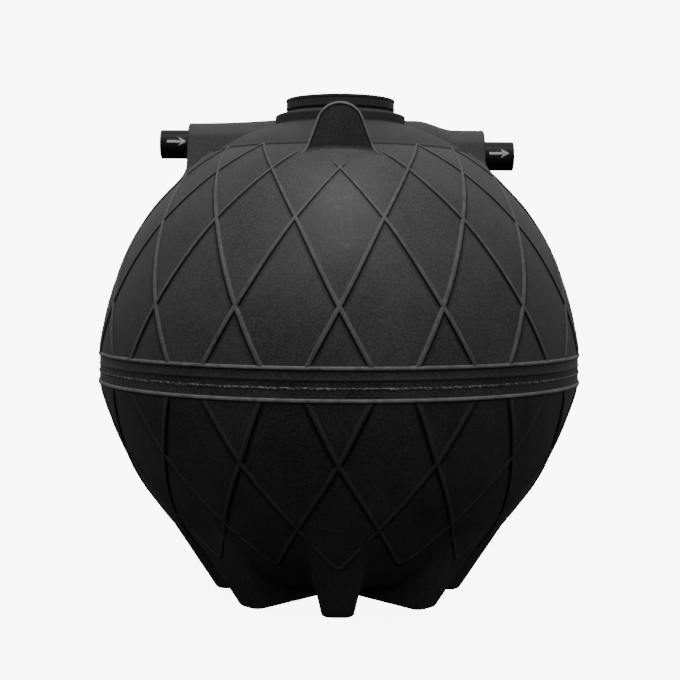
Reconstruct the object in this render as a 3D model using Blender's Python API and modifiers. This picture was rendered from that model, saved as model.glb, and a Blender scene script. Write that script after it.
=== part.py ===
"""Globe-shaped wastewater treatment tank, moulded in black polyethylene.

Metres, +Z up. The origin is on the ground under the centre of the tank. The front, with one
lifting ear, faces -Y; the inlet pipe points to -X and the outlet pipe to +X.
"""
import math

import bmesh
import bpy
from mathutils import Matrix, Vector

# General sizes
GAP = 0.0003            # clearance between pieces that touch
WALL = 0.010            # thickness of the moulded wall
FACETS = 48             # flat facets round the tank
PIPE_FACETS = 32        # flat facets round a pipe stub

# The globe is eight equal sectors, one over each foot
SECTOR_NAMES = ("right", "back_right", "back", "back_left", "left", "front_left", "front", "front_right")
SECTOR_ANGLE = math.tau / len(SECTOR_NAMES)

# Belt round the middle, where the two halves of the shell meet
BELT_RADIUS = 0.9335
BELT_FACE_RADIUS = 0.9285
BELT_INNER_RADIUS = 0.9180
BELT_BOTTOM = 0.8145
BELT_SEAM = 0.8627
BELT_TOP = 0.9360
BEAD_HEIGHT = 0.016
BEAD_STEPS = 4

# Upper half: one large arc, then a tighter crown arc that is tangent to it
UPPER_CENTRE = Vector((-0.1359, 0.8488))
UPPER_RADIUS = 1.0688
SHOULDER_HEIGHT = 1.600
CROWN_JOINT_RADIUS = 0.520
UPPER_STEPS = 7
SHOULDER_STEPS = 2
CROWN_STEPS = 5

# Lower half: one large arc, a fillet and a flat floor
LOWER_CENTRE = Vector((-0.2668, 1.1094))
LOWER_RADIUS = 1.2303
FLOOR_HEIGHT = 0.095
FLOOR_RADIUS = 0.380
FLOOR_FILLET = 0.080
LOWER_STEPS = 7
FILLET_STEPS = 3

# Diamond lattice on both halves: sixteen diamonds round the tank. Each row of crossings is a phase,
# counted in diamonds, and its distance along the wall from the belt
DIAMONDS = 16
DIAMOND_ANGLE = math.tau / DIAMONDS
UPPER_ROWS = ((-0.284, 0.0), (0.0, 0.1938), (0.5, 0.5201), (1.0, 0.7495), (1.5, 0.8781))
LOWER_ROWS = ((-0.284, 0.0), (0.0, 0.2218), (0.5, 0.5044), (1.0, 0.7383))
UPPER_RIBS_END = 1.485  # phase where the ribs run into the ring line round the crown
LOWER_RIBS_END = 0.640  # phase where the ribs reach the feet
RIB_HEIGHT = 0.0060
RIB_HALF_WIDTH = 0.0105
RIB_TAPER = 0.19        # loss of height for each diamond away from the belt
RIB_AT_BELT = 0.60      # share of its height that a rib keeps where it meets the belt
RIB_RUN_OUT = 0.030     # distance from the belt where a rib has its full height
RIB_ROOT = 0.0050       # depth of a rib's root inside the wall
RIB_CLEAR = 0.0030      # distance that the ribs keep from the belt
RIB_STOP = 0.0200       # distance from an ear or a housing where a rib's middle line stops
RIB_LOWER = 0.0004      # the ribs that lean right are this much lower, so that the crests cross cleanly
RIB_TURN = 0.0024       # and turned by this angle, so that no crossing falls on an edge of the facets
RIB_STEPS = 2           # stations of a rib from one crossing to the next
RING_RADIUS = 0.5270    # raised ring line where the ribs end at the crown
RING_HALF_WIDTH = 0.0062
RING_HEIGHT = 0.0036

# Eight radial feet round a hub
HUB_RADIUS = 0.1425
FOOT_LENGTH = 0.466     # from the centre to the outer end of the sole
FOOT_HALF_WIDTH = 0.0585
FOOT_SIDE_DRAFT = 0.19  # widening of each side per metre of height
FOOT_RAKE = 0.63        # outward lean of the outer face per metre of height
FOOT_BLOCK_HEIGHT = 0.290
FOOT_BLOCK_START = 0.100
FOOT_BLOCK_END = 0.720
FOOT_ROUND = 0.012
FOOT_EDGE_END = math.radians(80)    # where the rounded end of a foot meets its sole

# Manhole neck and lid
COLLAR_RADIUS = 0.2555
COLLAR_FOOT = 1.8130
COLLAR_TOP = 1.8480
COLLAR_BEVEL_IN = 0.0030
COLLAR_BEVEL_UP = 0.0040
NECK_SHOULDER = 1.8640
NECK_SHOULDER_RADIUS = 0.2132
SPOUT_RADIUS = 0.2060
MANHOLE_RADIUS = 0.1800
SPOUT_TOP = 1.8727
LID_RADIUS = 0.2140
LID_TOP = 1.9160
LID_EDGE_ROUND = 0.0070
LID_EDGE_MIDDLE = 0.0021
LID_PLUG_RADIUS = 0.1740
LID_PLUG_DEPTH = 0.020

# Pipe stubs, nominal 100 mm pipe
PIPE_RADIUS = 0.0570
PIPE_BORE = 0.0520
PIPE_CHAMFER = 0.0020
INLET_HEIGHT = 1.7400
INLET_FACE = 0.5940     # end face of the inlet housing, from the centre
INLET_END = 0.7050      # outer end of the inlet pipe
OUTLET_HEIGHT = 1.6995
OUTLET_FACE = 0.5643
OUTLET_END = 0.6810
PIPE_INSIDE = 0.0240    # how far a pipe reaches into its housing

# Housings over the pipe stubs
INLET_TOP = 1.8240
INLET_CAP_RADIUS = 0.0840
OUTLET_TOP = 1.8005
OUTLET_CAP_RADIUS = 0.0870
RIDGE_TOP_AT_COLLAR = 1.8380
RIDGE_START = 0.2050    # inside the collar, which trims it
HOUSING_SPLAY = math.radians(14)
HOLLOW_START = 0.3300
SLOT_HALF_WIDTH = 0.0450
SLOT_LENGTH = 0.1500
RIDGE_STEPS = 5

# Lifting ears
EAR_TOP = 1.8435
EAR_CAP_RADIUS = 0.0870
EAR_SPLAY = math.radians(20)
EAR_FACE = 0.5450
EAR_THICKNESS = 0.1450
EAR_BACK_SLOPE = 0.70   # how far the back face leans in per metre of height
EDGE_ROUND = 0.006

FLARE_RADIUS = 0.0600
FLARE_END = math.radians(65)
OUTLINE_STEPS = 8
FLARE_STEPS = 4
BURIED = 1.40           # bottom of the blocks that the shell cuts off

MERGE = 0.00005         # vertices of a joined mesh that are closer than this become one

# Cutting shapes run well past the tank
CUTTER_REACH = 2.0
CUTTER_TOP = 2.5
CUTTER_BOTTOM = -0.5


def clear_scene():
    """Empty the file of objects."""
    for thing in list(bpy.data.objects):
        bpy.data.objects.remove(thing, do_unlink=True)


def add_collection(name):
    """Make a collection under the scene."""
    collection = bpy.data.collections.new(name)
    bpy.context.scene.collection.children.link(collection)
    return collection


def plastic(name, colour, roughness):
    """Make one plain plastic material."""
    material = bpy.data.materials.new(name)
    material.use_nodes = True
    shader = material.node_tree.nodes["Principled BSDF"]
    shader.inputs["Base Color"].default_value = (*colour, 1.0)
    shader.inputs["Roughness"].default_value = roughness
    shader.inputs["Metallic"].default_value = 0.0
    material.diffuse_color = (*colour, 1.0)
    return material


def add_object(name, mesh, collection, material=None):
    """Put a mesh in a collection under a name, with its material."""
    thing = bpy.data.objects.new(name, mesh)
    collection.objects.link(thing)
    if material:
        mesh.materials.append(material)
    return thing


def as_cutter(thing):
    """Show a cutter as wire and keep it out of renders."""
    thing.hide_render = True
    thing.display_type = "WIRE"
    return thing


def mesh_from_bmesh(name, bm):
    """Turn a bmesh with outward faces into a mesh."""
    bmesh.ops.recalc_face_normals(bm, faces=bm.faces)
    mesh = bpy.data.meshes.new(name)
    bm.to_mesh(mesh)
    bm.free()
    return mesh


def turned_mesh(name, outline, closed):
    """Make the edge mesh of a profile in the XZ plane."""
    verts = [(r, 0.0, z) for r, z in outline]
    edges = [(i, i + 1) for i in range(len(outline) - 1)]
    if closed:
        edges.append((len(outline) - 1, 0))
    mesh = bpy.data.meshes.new(name)
    mesh.from_pydata(verts, edges, [])
    return mesh


def turn(thing, facets=FACETS):
    """Turn an object's profile round Z."""
    screw = thing.modifiers.new("turned", "SCREW")
    screw.axis = "Z"
    screw.angle = math.tau
    screw.steps = facets
    screw.render_steps = facets
    screw.use_merge_vertices = True
    screw.merge_threshold = MERGE
    screw.use_smooth_shade = False
    return thing


def cut(thing, cutter, operation="DIFFERENCE"):
    """Cut an object with another by an exact Boolean."""
    boolean = thing.modifiers.new(cutter.name, "BOOLEAN")
    boolean.operation = operation
    boolean.solver = "EXACT"
    boolean.object = cutter


def join(thing, other):
    """Join a solid to an object by an exact Boolean."""
    cut(thing, other, "UNION")


def baked_mesh(thing):
    """The mesh that an object's modifiers make, with the object removed."""
    graph = bpy.context.evaluated_depsgraph_get()
    mesh = bpy.data.meshes.new_from_object(thing.evaluated_get(graph))
    bpy.data.objects.remove(thing, do_unlink=True)
    bm = bmesh.new()
    bm.from_mesh(mesh)
    bmesh.ops.remove_doubles(bm, verts=bm.verts, dist=MERGE)
    bm.to_mesh(mesh)
    bm.free()
    return mesh


def prism(name, outline, start, end):
    """Extrude an outline in the YZ plane from one X to another."""
    bm = bmesh.new()
    face = bm.faces.new([bm.verts.new((start, y, z)) for y, z in outline])
    result = bmesh.ops.extrude_face_region(bm, geom=[face])
    moved = [item for item in result["geom"] if isinstance(item, bmesh.types.BMVert)]
    bmesh.ops.translate(bm, verts=moved, vec=(end - start, 0.0, 0.0))
    return mesh_from_bmesh(name, bm)


def box_mesh(name, low, high):
    """Make a box between two corners."""
    low = Vector(low)
    high = Vector(high)
    bm = bmesh.new()
    size = high - low
    matrix = Matrix.Translation((low + high) / 2) @ Matrix.Diagonal((*size, 1.0))
    bmesh.ops.create_cube(bm, size=1.0, matrix=matrix)
    return mesh_from_bmesh(name, bm)


def arc(centre, radius, start, end, steps):
    """Points on an arc in the (radius, height) plane, both ends included."""
    points = []
    for step in range(steps + 1):
        angle = start + (end - start) * step / steps
        points.append(centre + Vector((math.cos(angle), math.sin(angle))) * radius)
    return points


def angle_at_height(centre, radius, height):
    """Angle of the point of an arc that lies at a height."""
    return math.asin((height - centre.y) / radius)


def angle_at_radius(centre, radius, distance):
    """Angle of the upper point of an arc that lies at a distance from the axis."""
    return math.acos((distance - centre.x) / radius)


def crown_arc():
    """Centre and radius of the crown arc: tangent at the shoulder and through the collar's foot."""
    angle = angle_at_height(UPPER_CENTRE, UPPER_RADIUS, SHOULDER_HEIGHT)
    normal = Vector((math.cos(angle), math.sin(angle)))
    shoulder = UPPER_CENTRE + normal * UPPER_RADIUS
    to_collar = Vector((COLLAR_RADIUS, COLLAR_FOOT)) - shoulder
    radius = -to_collar.length_squared / (2 * to_collar.dot(normal))
    return shoulder - normal * radius, radius


CROWN_CENTRE, CROWN_RADIUS = crown_arc()
SHOULDER_ANGLE = angle_at_height(UPPER_CENTRE, UPPER_RADIUS, SHOULDER_HEIGHT)


def dome_height(distance):
    """Height of the outer face of the upper half at a distance from the axis."""
    shoulder_radius = UPPER_CENTRE.x + UPPER_RADIUS * math.cos(SHOULDER_ANGLE)
    centre, radius = CROWN_CENTRE, CROWN_RADIUS
    if distance > shoulder_radius:
        centre, radius = UPPER_CENTRE, UPPER_RADIUS
    return centre.y + math.sqrt(radius ** 2 - (distance - centre.x) ** 2)


def upper_side(offset):
    """One face of the upper half, from the crown joint down to the belt."""
    joint = angle_at_radius(CROWN_CENTRE, CROWN_RADIUS, CROWN_JOINT_RADIUS + GAP)
    foot = angle_at_height(UPPER_CENTRE, UPPER_RADIUS, BELT_TOP + GAP)
    shoulder = arc(CROWN_CENTRE, CROWN_RADIUS + offset, joint, SHOULDER_ANGLE, SHOULDER_STEPS)
    if offset >= 0:
        shoulder[1:1] = ring_line(offset)
    flank = arc(UPPER_CENTRE, UPPER_RADIUS + offset, SHOULDER_ANGLE, foot, UPPER_STEPS)
    flank[-1].y = BELT_TOP + GAP
    return shoulder + flank[1:]


def ring_line(offset):
    """Crest and outer foot of the ring line round the crown."""
    points = []
    for distance, lift in ((RING_RADIUS, RING_HEIGHT), (RING_RADIUS + RING_HALF_WIDTH, 0.0)):
        angle = angle_at_radius(CROWN_CENTRE, CROWN_RADIUS, distance)
        out = Vector((math.cos(angle), math.sin(angle)))
        points.append(CROWN_CENTRE + out * (CROWN_RADIUS + offset + lift))
    return points


def lower_side(offset):
    """One face of the lower half, from the belt down to the flat floor."""
    inner = LOWER_RADIUS - FLOOR_FILLET
    drop = LOWER_CENTRE.y - FLOOR_HEIGHT - FLOOR_FILLET
    fillet_centre = LOWER_CENTRE + Vector((math.sqrt(inner ** 2 - drop ** 2), -drop))
    turn_angle = -math.asin(drop / inner)
    top = angle_at_height(LOWER_CENTRE, LOWER_RADIUS, BELT_BOTTOM - GAP)
    flank = arc(LOWER_CENTRE, LOWER_RADIUS + offset, top, turn_angle, LOWER_STEPS)
    flank[0].y = BELT_BOTTOM - GAP
    fillet = arc(fillet_centre, FLOOR_FILLET + offset, turn_angle, -math.pi / 2, FILLET_STEPS)
    edge = Vector((FLOOR_RADIUS + GAP, FLOOR_HEIGHT - offset))
    return flank + fillet[1:] + [edge]


def crown_side(offset):
    """One face of the crown, from the manhole out to the crown joint."""
    start = angle_at_radius(CROWN_CENTRE, CROWN_RADIUS, MANHOLE_RADIUS)
    end = angle_at_radius(CROWN_CENTRE, CROWN_RADIUS, CROWN_JOINT_RADIUS)
    return arc(CROWN_CENTRE, CROWN_RADIUS + offset, start, end, CROWN_STEPS)


def row_distance(rows, phase):
    """Distance along the wall at a phase, on a smooth curve through the rows of crossings."""
    slopes = [(after[1] - before[1]) / (after[0] - before[0]) for before, after in zip(rows, rows[1:])]
    means = [2 * below * above / (below + above) for below, above in zip(slopes, slopes[1:])]
    leans = [slopes[0]] + means + [slopes[-1]]
    index = max(0, sum(1 for row in rows[:-1] if row[0] <= phase) - 1)
    (start, low), (end, high) = rows[index:index + 2]
    t = (phase - start) / (end - start)
    curve = low * (1 + 2 * t) * (1 - t) ** 2 + high * (3 - 2 * t) * t ** 2
    return curve + (end - start) * t * (1 - t) * (leans[index] * (1 - t) - leans[index + 1] * t)


def upper_place(distance):
    """Arc and angle of the point on the upper half at a distance up from the belt."""
    angle = angle_at_height(UPPER_CENTRE, UPPER_RADIUS, BELT_TOP) + distance / UPPER_RADIUS
    if angle <= SHOULDER_ANGLE:
        return UPPER_CENTRE, UPPER_RADIUS, angle
    beyond = (angle - SHOULDER_ANGLE) * UPPER_RADIUS
    return CROWN_CENTRE, CROWN_RADIUS, SHOULDER_ANGLE + beyond / CROWN_RADIUS


def lower_place(distance):
    """Arc and angle of the point on the lower half at a distance down from the belt."""
    angle = angle_at_height(LOWER_CENTRE, LOWER_RADIUS, BELT_BOTTOM) - distance / LOWER_RADIUS
    return LOWER_CENTRE, LOWER_RADIUS, angle


def rib_section(rows, place, diamond, lean, phase):
    """Root, crest and other root of a rib at one phase."""
    distance = max(row_distance(rows, phase), RIB_CLEAR)
    centre, radius, angle = place(distance)
    out = Vector((math.cos(angle), math.sin(angle)))
    run_out = min(1.0, distance / RIB_RUN_OUT)
    size = RIB_HEIGHT * (RIB_AT_BELT + (1 - RIB_AT_BELT) * run_out) * (1 - RIB_TAPER * max(phase, 0.0))
    middle = (diamond + lean * phase) * DIAMOND_ANGLE
    if lean < 0:
        size -= RIB_LOWER
        middle += RIB_TURN
    crest = centre + out * (radius + size)
    root = centre + out * (radius - RIB_ROOT)
    climb = (row_distance(rows, phase + 0.01) - row_distance(rows, phase - 0.01)) / 0.02
    across = math.hypot(1.0, crest.x * DIAMOND_ANGLE / climb)
    half_turn = RIB_HALF_WIDTH * across * (1 + RIB_ROOT / size) / crest.x
    section = ((root, middle - half_turn), (crest, middle), (root, middle + half_turn))
    return [Vector((p.x * math.cos(turn), p.x * math.sin(turn), p.y)) for p, turn in section]


def rib_end(rows, place, diamond, lean, last, standing):
    """Phase where a rib ends: the last one, or where it comes near an ear or a housing."""
    step = 0.01
    for count in range(int((last - 1.0) / step)):
        phase = 1.0 + count * step
        crest = rib_section(rows, place, diamond, lean, phase)[1]
        for quarter_turns, outline, face in standing:
            turned = crest.copy()
            turned.rotate(Matrix.Rotation(-quarter_turns * math.pi / 2, 3, "Z"))
            half_width = max(point.x for point in outline)
            if 0 < turned.x < face + RIB_STOP and abs(turned.y) < half_width + RIB_STOP:
                return phase
    return last


def ribs_mesh(name, rows, place, lean, last, standing):
    """All the ribs of one half that lean the same way, each a closed bar with a peaked top."""
    bm = bmesh.new()
    for diamond in range(DIAMONDS):
        first = rows[0][0]
        end = rib_end(rows, place, diamond, lean, last, standing)
        steps = round((end - first) * 2 * RIB_STEPS)
        phases = [first + (end - first) * step / steps for step in range(steps + 1)]
        sections = [rib_section(rows, place, diamond, lean, phase) for phase in phases]
        rings = [[bm.verts.new(point) for point in section] for section in sections]
        for below, above in zip(rings, rings[1:]):
            for side in range(3):
                after = (side + 1) % 3
                bm.faces.new((below[side], below[after], above[after], above[side]))
        bm.faces.new(rings[0])
        bm.faces.new(rings[-1])
    return mesh_from_bmesh(name, bm)


def wall_loop(side):
    """Closed profile of a wall: down its outer face and up its inner face."""
    return side(0.0) + list(reversed(side(-WALL)))


def bead(centre_height, half_height):
    """Rounded bead that stands out from the face of the belt, from its top to its bottom."""
    depth = BELT_RADIUS - BELT_FACE_RADIUS
    points = []
    for step in range(BEAD_STEPS + 1):
        angle = math.pi / 2 - math.pi * step / BEAD_STEPS
        reach = BELT_FACE_RADIUS + depth * math.cos(angle)
        points.append(Vector((reach, centre_height + half_height * math.sin(angle))))
    return points


def sector_cutter(index, collection):
    """Wedge that holds one sector, with half the gap left on each side."""
    half = SECTOR_ANGLE / 2
    apex = GAP / 2 / math.sin(half)
    side = CUTTER_REACH * math.tan(half)
    bm = bmesh.new()
    corners = ((apex, 0.0), (apex + CUTTER_REACH, -side), (apex + CUTTER_REACH, side))
    face = bm.faces.new([bm.verts.new((x, y, CUTTER_BOTTOM)) for x, y in corners])
    result = bmesh.ops.extrude_face_region(bm, geom=[face])
    moved = [item for item in result["geom"] if isinstance(item, bmesh.types.BMVert)]
    bmesh.ops.translate(bm, verts=moved, vec=(0.0, 0.0, CUTTER_TOP - CUTTER_BOTTOM))
    mesh = mesh_from_bmesh("sector", bm)
    mesh.transform(Matrix.Rotation(index * SECTOR_ANGLE, 4, "Z"))
    return as_cutter(add_object("sector_" + SECTOR_NAMES[index], mesh, collection))


def bell_outline(top, cap_radius, splay, flare_foot, shrink=0.0):
    """Arched section of a housing or an ear: a round cap, splayed flanks and flared feet."""
    cap = cap_radius - shrink
    centre = top - cap_radius
    half = []
    for step in range(OUTLINE_STEPS + 1):
        angle = math.pi / 2 - (math.pi / 2 - splay) * step / OUTLINE_STEPS
        half.append(Vector((cap * math.cos(angle), centre + cap * math.sin(angle))))
    start = half[-1]
    if flare_foot is None:
        drop = start.y - BURIED
        half.append(Vector((start.x + drop * math.tan(splay), BURIED)))
    else:
        flare_top = flare_foot + FLARE_RADIUS * (math.sin(FLARE_END) - math.sin(splay))
        corner = Vector((start.x + (start.y - flare_top) * math.tan(splay), flare_top))
        centre_out = corner + Vector((math.cos(splay), math.sin(splay))) * FLARE_RADIUS
        for step in range(FLARE_STEPS + 1):
            angle = splay + (FLARE_END - splay) * step / FLARE_STEPS
            half.append(centre_out - Vector((math.cos(angle), math.sin(angle))) * FLARE_RADIUS)
        half.append(Vector((half[-1].x, BURIED)))
    other = [Vector((-point.x, point.y)) for point in reversed(half[1:])]
    return half + other


def bevel(thing, width, segments):
    """Round the sharp edges of an object."""
    rounding = thing.modifiers.new("rounded", "BEVEL")
    rounding.width = width
    rounding.segments = segments
    rounding.limit_method = "ANGLE"
    rounding.angle_limit = math.radians(40)


def ridge_mesh(name, outline, start, end, end_top):
    """Arched ridge from near the collar out to its end face, rising towards the collar."""
    bm = bmesh.new()
    bm.from_mesh(prism(name, outline, start, end))
    for step in range(1, RIDGE_STEPS):
        station = Vector((start + (end - start) * step / RIDGE_STEPS, 0.0, 0.0))
        everything = bm.verts[:] + bm.edges[:] + bm.faces[:]
        bmesh.ops.bisect_plane(bm, geom=everything, plane_co=station, plane_no=(1.0, 0.0, 0.0))
    rise = RIDGE_TOP_AT_COLLAR - end_top
    for vert in bm.verts:
        along = (end - vert.co.x) / (end - COLLAR_RADIUS)
        vert.co.z += rise * along ** 2
    return mesh_from_bmesh(name, bm)


def round_cutter(name, outline, collection):
    """Solid of revolution used as a cutter, its profile running from the axis round to the axis."""
    thing = add_object(name, turned_mesh(name, outline, closed=False), collection)
    return as_cutter(turn(thing))


def foot_ends_outline():
    """Profile of the cone that the outer ends of the feet lie on, with a rounded lower edge."""
    rake = math.atan(FOOT_RAKE)
    top = FOOT_BLOCK_HEIGHT * 2
    tangent = FOOT_ROUND * math.tan((math.pi / 2 - rake) / 2)
    centre = Vector((FOOT_LENGTH - tangent, FOOT_ROUND))
    edge = arc(centre, FOOT_ROUND, -rake, -FOOT_EDGE_END, 2)
    below = Vector((edge[-1].x, -FOOT_ROUND))
    return [Vector((0.0, top)), Vector((FOOT_LENGTH + FOOT_RAKE * top, top))] + edge + [
        below, Vector((0.0, below.y))]


def build_cutters(collection):
    """The shapes that trim the pieces: the dome, the bowl, the hub, the collar and the feet's ends."""
    dome_side = crown_side(GAP) + upper_side(GAP)
    dome = [Vector((0.0, dome_side[0].y))] + dome_side + [Vector((0.0, BELT_TOP))]
    low = lower_side(GAP)
    bowl = [Vector((0.0, low[0].y))] + low[:-1] + [Vector((0.0, low[-1].y))]
    hub = [Vector((0.0, FOOT_BLOCK_HEIGHT * 2)), Vector((HUB_RADIUS + GAP, FOOT_BLOCK_HEIGHT * 2)),
           Vector((HUB_RADIUS + GAP, CUTTER_BOTTOM)), Vector((0.0, CUTTER_BOTTOM))]
    collar = [Vector((0.0, CUTTER_TOP)), Vector((COLLAR_RADIUS + GAP, CUTTER_TOP)),
              Vector((COLLAR_RADIUS + GAP, BURIED)), Vector((0.0, BURIED))]
    return {
        "dome": round_cutter("dome_cutter", dome, collection),
        "bowl": round_cutter("bowl_cutter", bowl, collection),
        "hub": round_cutter("hub_cutter", hub, collection),
        "collar": round_cutter("collar_cutter", collar, collection),
        "foot_ends": round_cutter("foot_ends_cutter", foot_ends_outline(), collection),
    }


def build_ribs(row, rows, place, last, standing, collection):
    """The ribs of one half: those that lean left joined to those that lean right."""
    leaning = []
    for way, lean in (("left", 1), ("right", -1)):
        mesh = ribs_mesh(row, rows, place, lean, last, standing)
        leaning.append(as_cutter(add_object(row + "_ribs_" + way, mesh, collection)))
    join(*leaning)
    return leaning[0]


def build_shell(parts, cutters, material, standing):
    """The moulded shell as eight crown, eight upper and eight lower sectors."""
    sectors = [sector_cutter(index, cutters) for index in range(len(SECTOR_NAMES))]
    upper_ribs = build_ribs("upper", UPPER_ROWS, upper_place, UPPER_RIBS_END, standing, cutters)
    lower_ribs = build_ribs("lower", LOWER_ROWS, lower_place, LOWER_RIBS_END, (), cutters)
    shell = {}
    for row, side, ribs in (("crown", crown_side, None), ("upper_shell", upper_side, upper_ribs),
                            ("lower_shell", lower_side, lower_ribs)):
        ring = turn(add_object(row, turned_mesh(row, wall_loop(side), closed=True), cutters))
        if ribs:
            join(ring, ribs)
        mesh = baked_mesh(ring)
        mesh.materials.clear()
        mesh.materials.append(material)
        for index, where in enumerate(SECTOR_NAMES):
            name = row + "_" + where
            shell[name] = add_object(name, mesh, parts)
            cut(shell[name], sectors[index], "INTERSECT")
    return shell, sectors


def build_floor(parts, material):
    """Flat floor in the middle of the bowl and the hub that carries it."""
    floor = [Vector((0.0, FLOOR_HEIGHT + WALL)), Vector((FLOOR_RADIUS, FLOOR_HEIGHT + WALL)),
             Vector((FLOOR_RADIUS, FLOOR_HEIGHT)), Vector((0.0, FLOOR_HEIGHT))]
    turn(add_object("tank_floor", turned_mesh("tank_floor", floor, closed=False), parts, material))
    hub = [Vector((0.0, FLOOR_HEIGHT - GAP)), Vector((HUB_RADIUS, FLOOR_HEIGHT - GAP)),
           Vector((HUB_RADIUS, 0.0)), Vector((0.0, 0.0))]
    turn(add_object("foot_hub", turned_mesh("foot_hub", hub, closed=False), parts, material))


def foot_mesh():
    """Block of one foot, pointing to +X, before the bowl and the hub are cut from it."""
    bm = bmesh.new()
    bmesh.ops.create_cube(bm, size=2.0)
    for vert in bm.verts:
        high = vert.co.z > 0
        height = FOOT_BLOCK_HEIGHT if high else 0.0
        width = FOOT_HALF_WIDTH + FOOT_SIDE_DRAFT * height
        reach = FOOT_BLOCK_END if vert.co.x > 0 else FOOT_BLOCK_START
        vert.co = Vector((reach, math.copysign(width, vert.co.y), height))
    return mesh_from_bmesh("foot", bm)


def build_feet(parts, sectors, trims, material):
    """Eight radial feet, each under one sector."""
    mesh = foot_mesh()
    mesh.materials.append(material)
    for index, where in enumerate(SECTOR_NAMES):
        foot = add_object("foot_" + where, mesh, parts)
        foot.rotation_euler.z = index * SECTOR_ANGLE
        bevel(foot, FOOT_ROUND, 2)
        cut(foot, trims["hub"])
        cut(foot, trims["foot_ends"], "INTERSECT")
        cut(foot, trims["bowl"])
        cut(foot, sectors[index], "INTERSECT")


def build_belt(parts, material):
    """Rim bands of the two halves, joined at the seam."""
    half_bead = BEAD_HEIGHT / 2
    upper = [Vector((BELT_INNER_RADIUS, BELT_SEAM + GAP)), Vector((BELT_INNER_RADIUS, BELT_TOP))]
    upper += bead(BELT_TOP - half_bead, half_bead)
    upper.append(Vector((BELT_FACE_RADIUS, BELT_SEAM + GAP)))
    lower = [Vector((BELT_INNER_RADIUS, BELT_BOTTOM)), Vector((BELT_INNER_RADIUS, BELT_SEAM)),
             Vector((BELT_FACE_RADIUS, BELT_SEAM))]
    lower += bead(BELT_BOTTOM + half_bead, half_bead)
    for name, outline in (("upper_rim_band", upper), ("lower_rim_band", lower)):
        turn(add_object(name, turned_mesh(name, outline, closed=True), parts, material))


def build_neck(parts, material):
    """Manhole neck: a collar on the crown, a sloping shoulder and a short spout."""
    seat = [point for point in crown_side(GAP) if point.x < COLLAR_RADIUS]
    outline = list(reversed(seat)) + [
        Vector((MANHOLE_RADIUS, SPOUT_TOP)),
        Vector((SPOUT_RADIUS, SPOUT_TOP)),
        Vector((SPOUT_RADIUS, NECK_SHOULDER)),
        Vector((NECK_SHOULDER_RADIUS, NECK_SHOULDER)),
        Vector((COLLAR_RADIUS - COLLAR_BEVEL_IN, COLLAR_TOP + COLLAR_BEVEL_UP)),
        Vector((COLLAR_RADIUS, COLLAR_TOP)),
        Vector((COLLAR_RADIUS, dome_height(COLLAR_RADIUS) + GAP)),
    ]
    mesh = turned_mesh("manhole_neck", outline, closed=True)
    return turn(add_object("manhole_neck", mesh, parts, material))


def build_lid(parts, material):
    """Lid that lifts off: a thick disc with a plug that centres it in the manhole."""
    seat = SPOUT_TOP + GAP
    outline = [
        Vector((0.0, LID_TOP)),
        Vector((LID_RADIUS - LID_EDGE_ROUND, LID_TOP)),
        Vector((LID_RADIUS - LID_EDGE_MIDDLE, LID_TOP - LID_EDGE_MIDDLE)),
        Vector((LID_RADIUS, LID_TOP - LID_EDGE_ROUND)),
        Vector((LID_RADIUS, seat)),
        Vector((LID_PLUG_RADIUS, seat)),
        Vector((LID_PLUG_RADIUS, seat - LID_PLUG_DEPTH)),
        Vector((0.0, seat - LID_PLUG_DEPTH)),
    ]
    mesh = turned_mesh("manhole_lid", outline, closed=False)
    return turn(add_object("manhole_lid", mesh, parts, material))


def build_pipe(name, side, height, face, end, parts, collection, material):
    """Open pipe stub through the end wall of its housing, and the cutter for its hole."""
    start = face - WALL - PIPE_INSIDE
    outline = [
        Vector((PIPE_BORE, start)),
        Vector((PIPE_BORE, end)),
        Vector((PIPE_RADIUS - PIPE_CHAMFER, end)),
        Vector((PIPE_RADIUS, end - PIPE_CHAMFER)),
        Vector((PIPE_RADIUS, start)),
    ]
    pipe = turn(add_object(name, turned_mesh(name, outline, closed=True), parts, material), PIPE_FACETS)
    hole = [Vector((0.0, end)), Vector((PIPE_RADIUS + GAP, end)),
            Vector((PIPE_RADIUS + GAP, start)), Vector((0.0, start))]
    mesh = turned_mesh(name + "_hole", hole, closed=False)
    cutter = as_cutter(turn(add_object(name + "_hole", mesh, collection), PIPE_FACETS))
    for thing in (pipe, cutter):
        thing.rotation_euler.y = side * math.pi / 2
        thing.location.z = height
    return cutter


def standing_outline(top, cap_radius, splay, face):
    """Arched section with flares that land on the dome at a face."""
    flare_foot = dome_height(math.hypot(face, cap_radius + FLARE_RADIUS))
    return bell_outline(top, cap_radius, splay, flare_foot)


def build_housing(name, side, top, cap_radius, face, trims, parts, collection, material):
    """Hollow ridge from the collar to its end face, open to the tank below."""
    outer = standing_outline(top, cap_radius, HOUSING_SPLAY, face)
    inner = bell_outline(top, cap_radius, HOUSING_SPLAY, None, shrink=WALL)
    mesh = ridge_mesh(name, outer, RIDGE_START, face, top)
    housing = add_object(name, mesh, parts, material)
    hollow = add_object(name + "_hollow", ridge_mesh(name, inner, HOLLOW_START, face - WALL, top), collection)
    as_cutter(hollow)
    if side < 0:
        housing.rotation_euler.z = math.pi
        hollow.rotation_euler.z = math.pi
    bevel(housing, EDGE_ROUND, 2)
    cut(housing, hollow)
    cut(housing, trims["dome"])
    cut(housing, trims["collar"])
    return housing


def build_slot(name, side, face, collection):
    """Slot through the shell under a housing, where the flow passes."""
    far = side * (face - WALL - PIPE_INSIDE)
    near = far - side * SLOT_LENGTH
    low = (min(near, far), -SLOT_HALF_WIDTH, BURIED)
    high = (max(near, far), SLOT_HALF_WIDTH, CUTTER_TOP)
    return as_cutter(add_object(name, box_mesh(name, low, high), collection))


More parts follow.
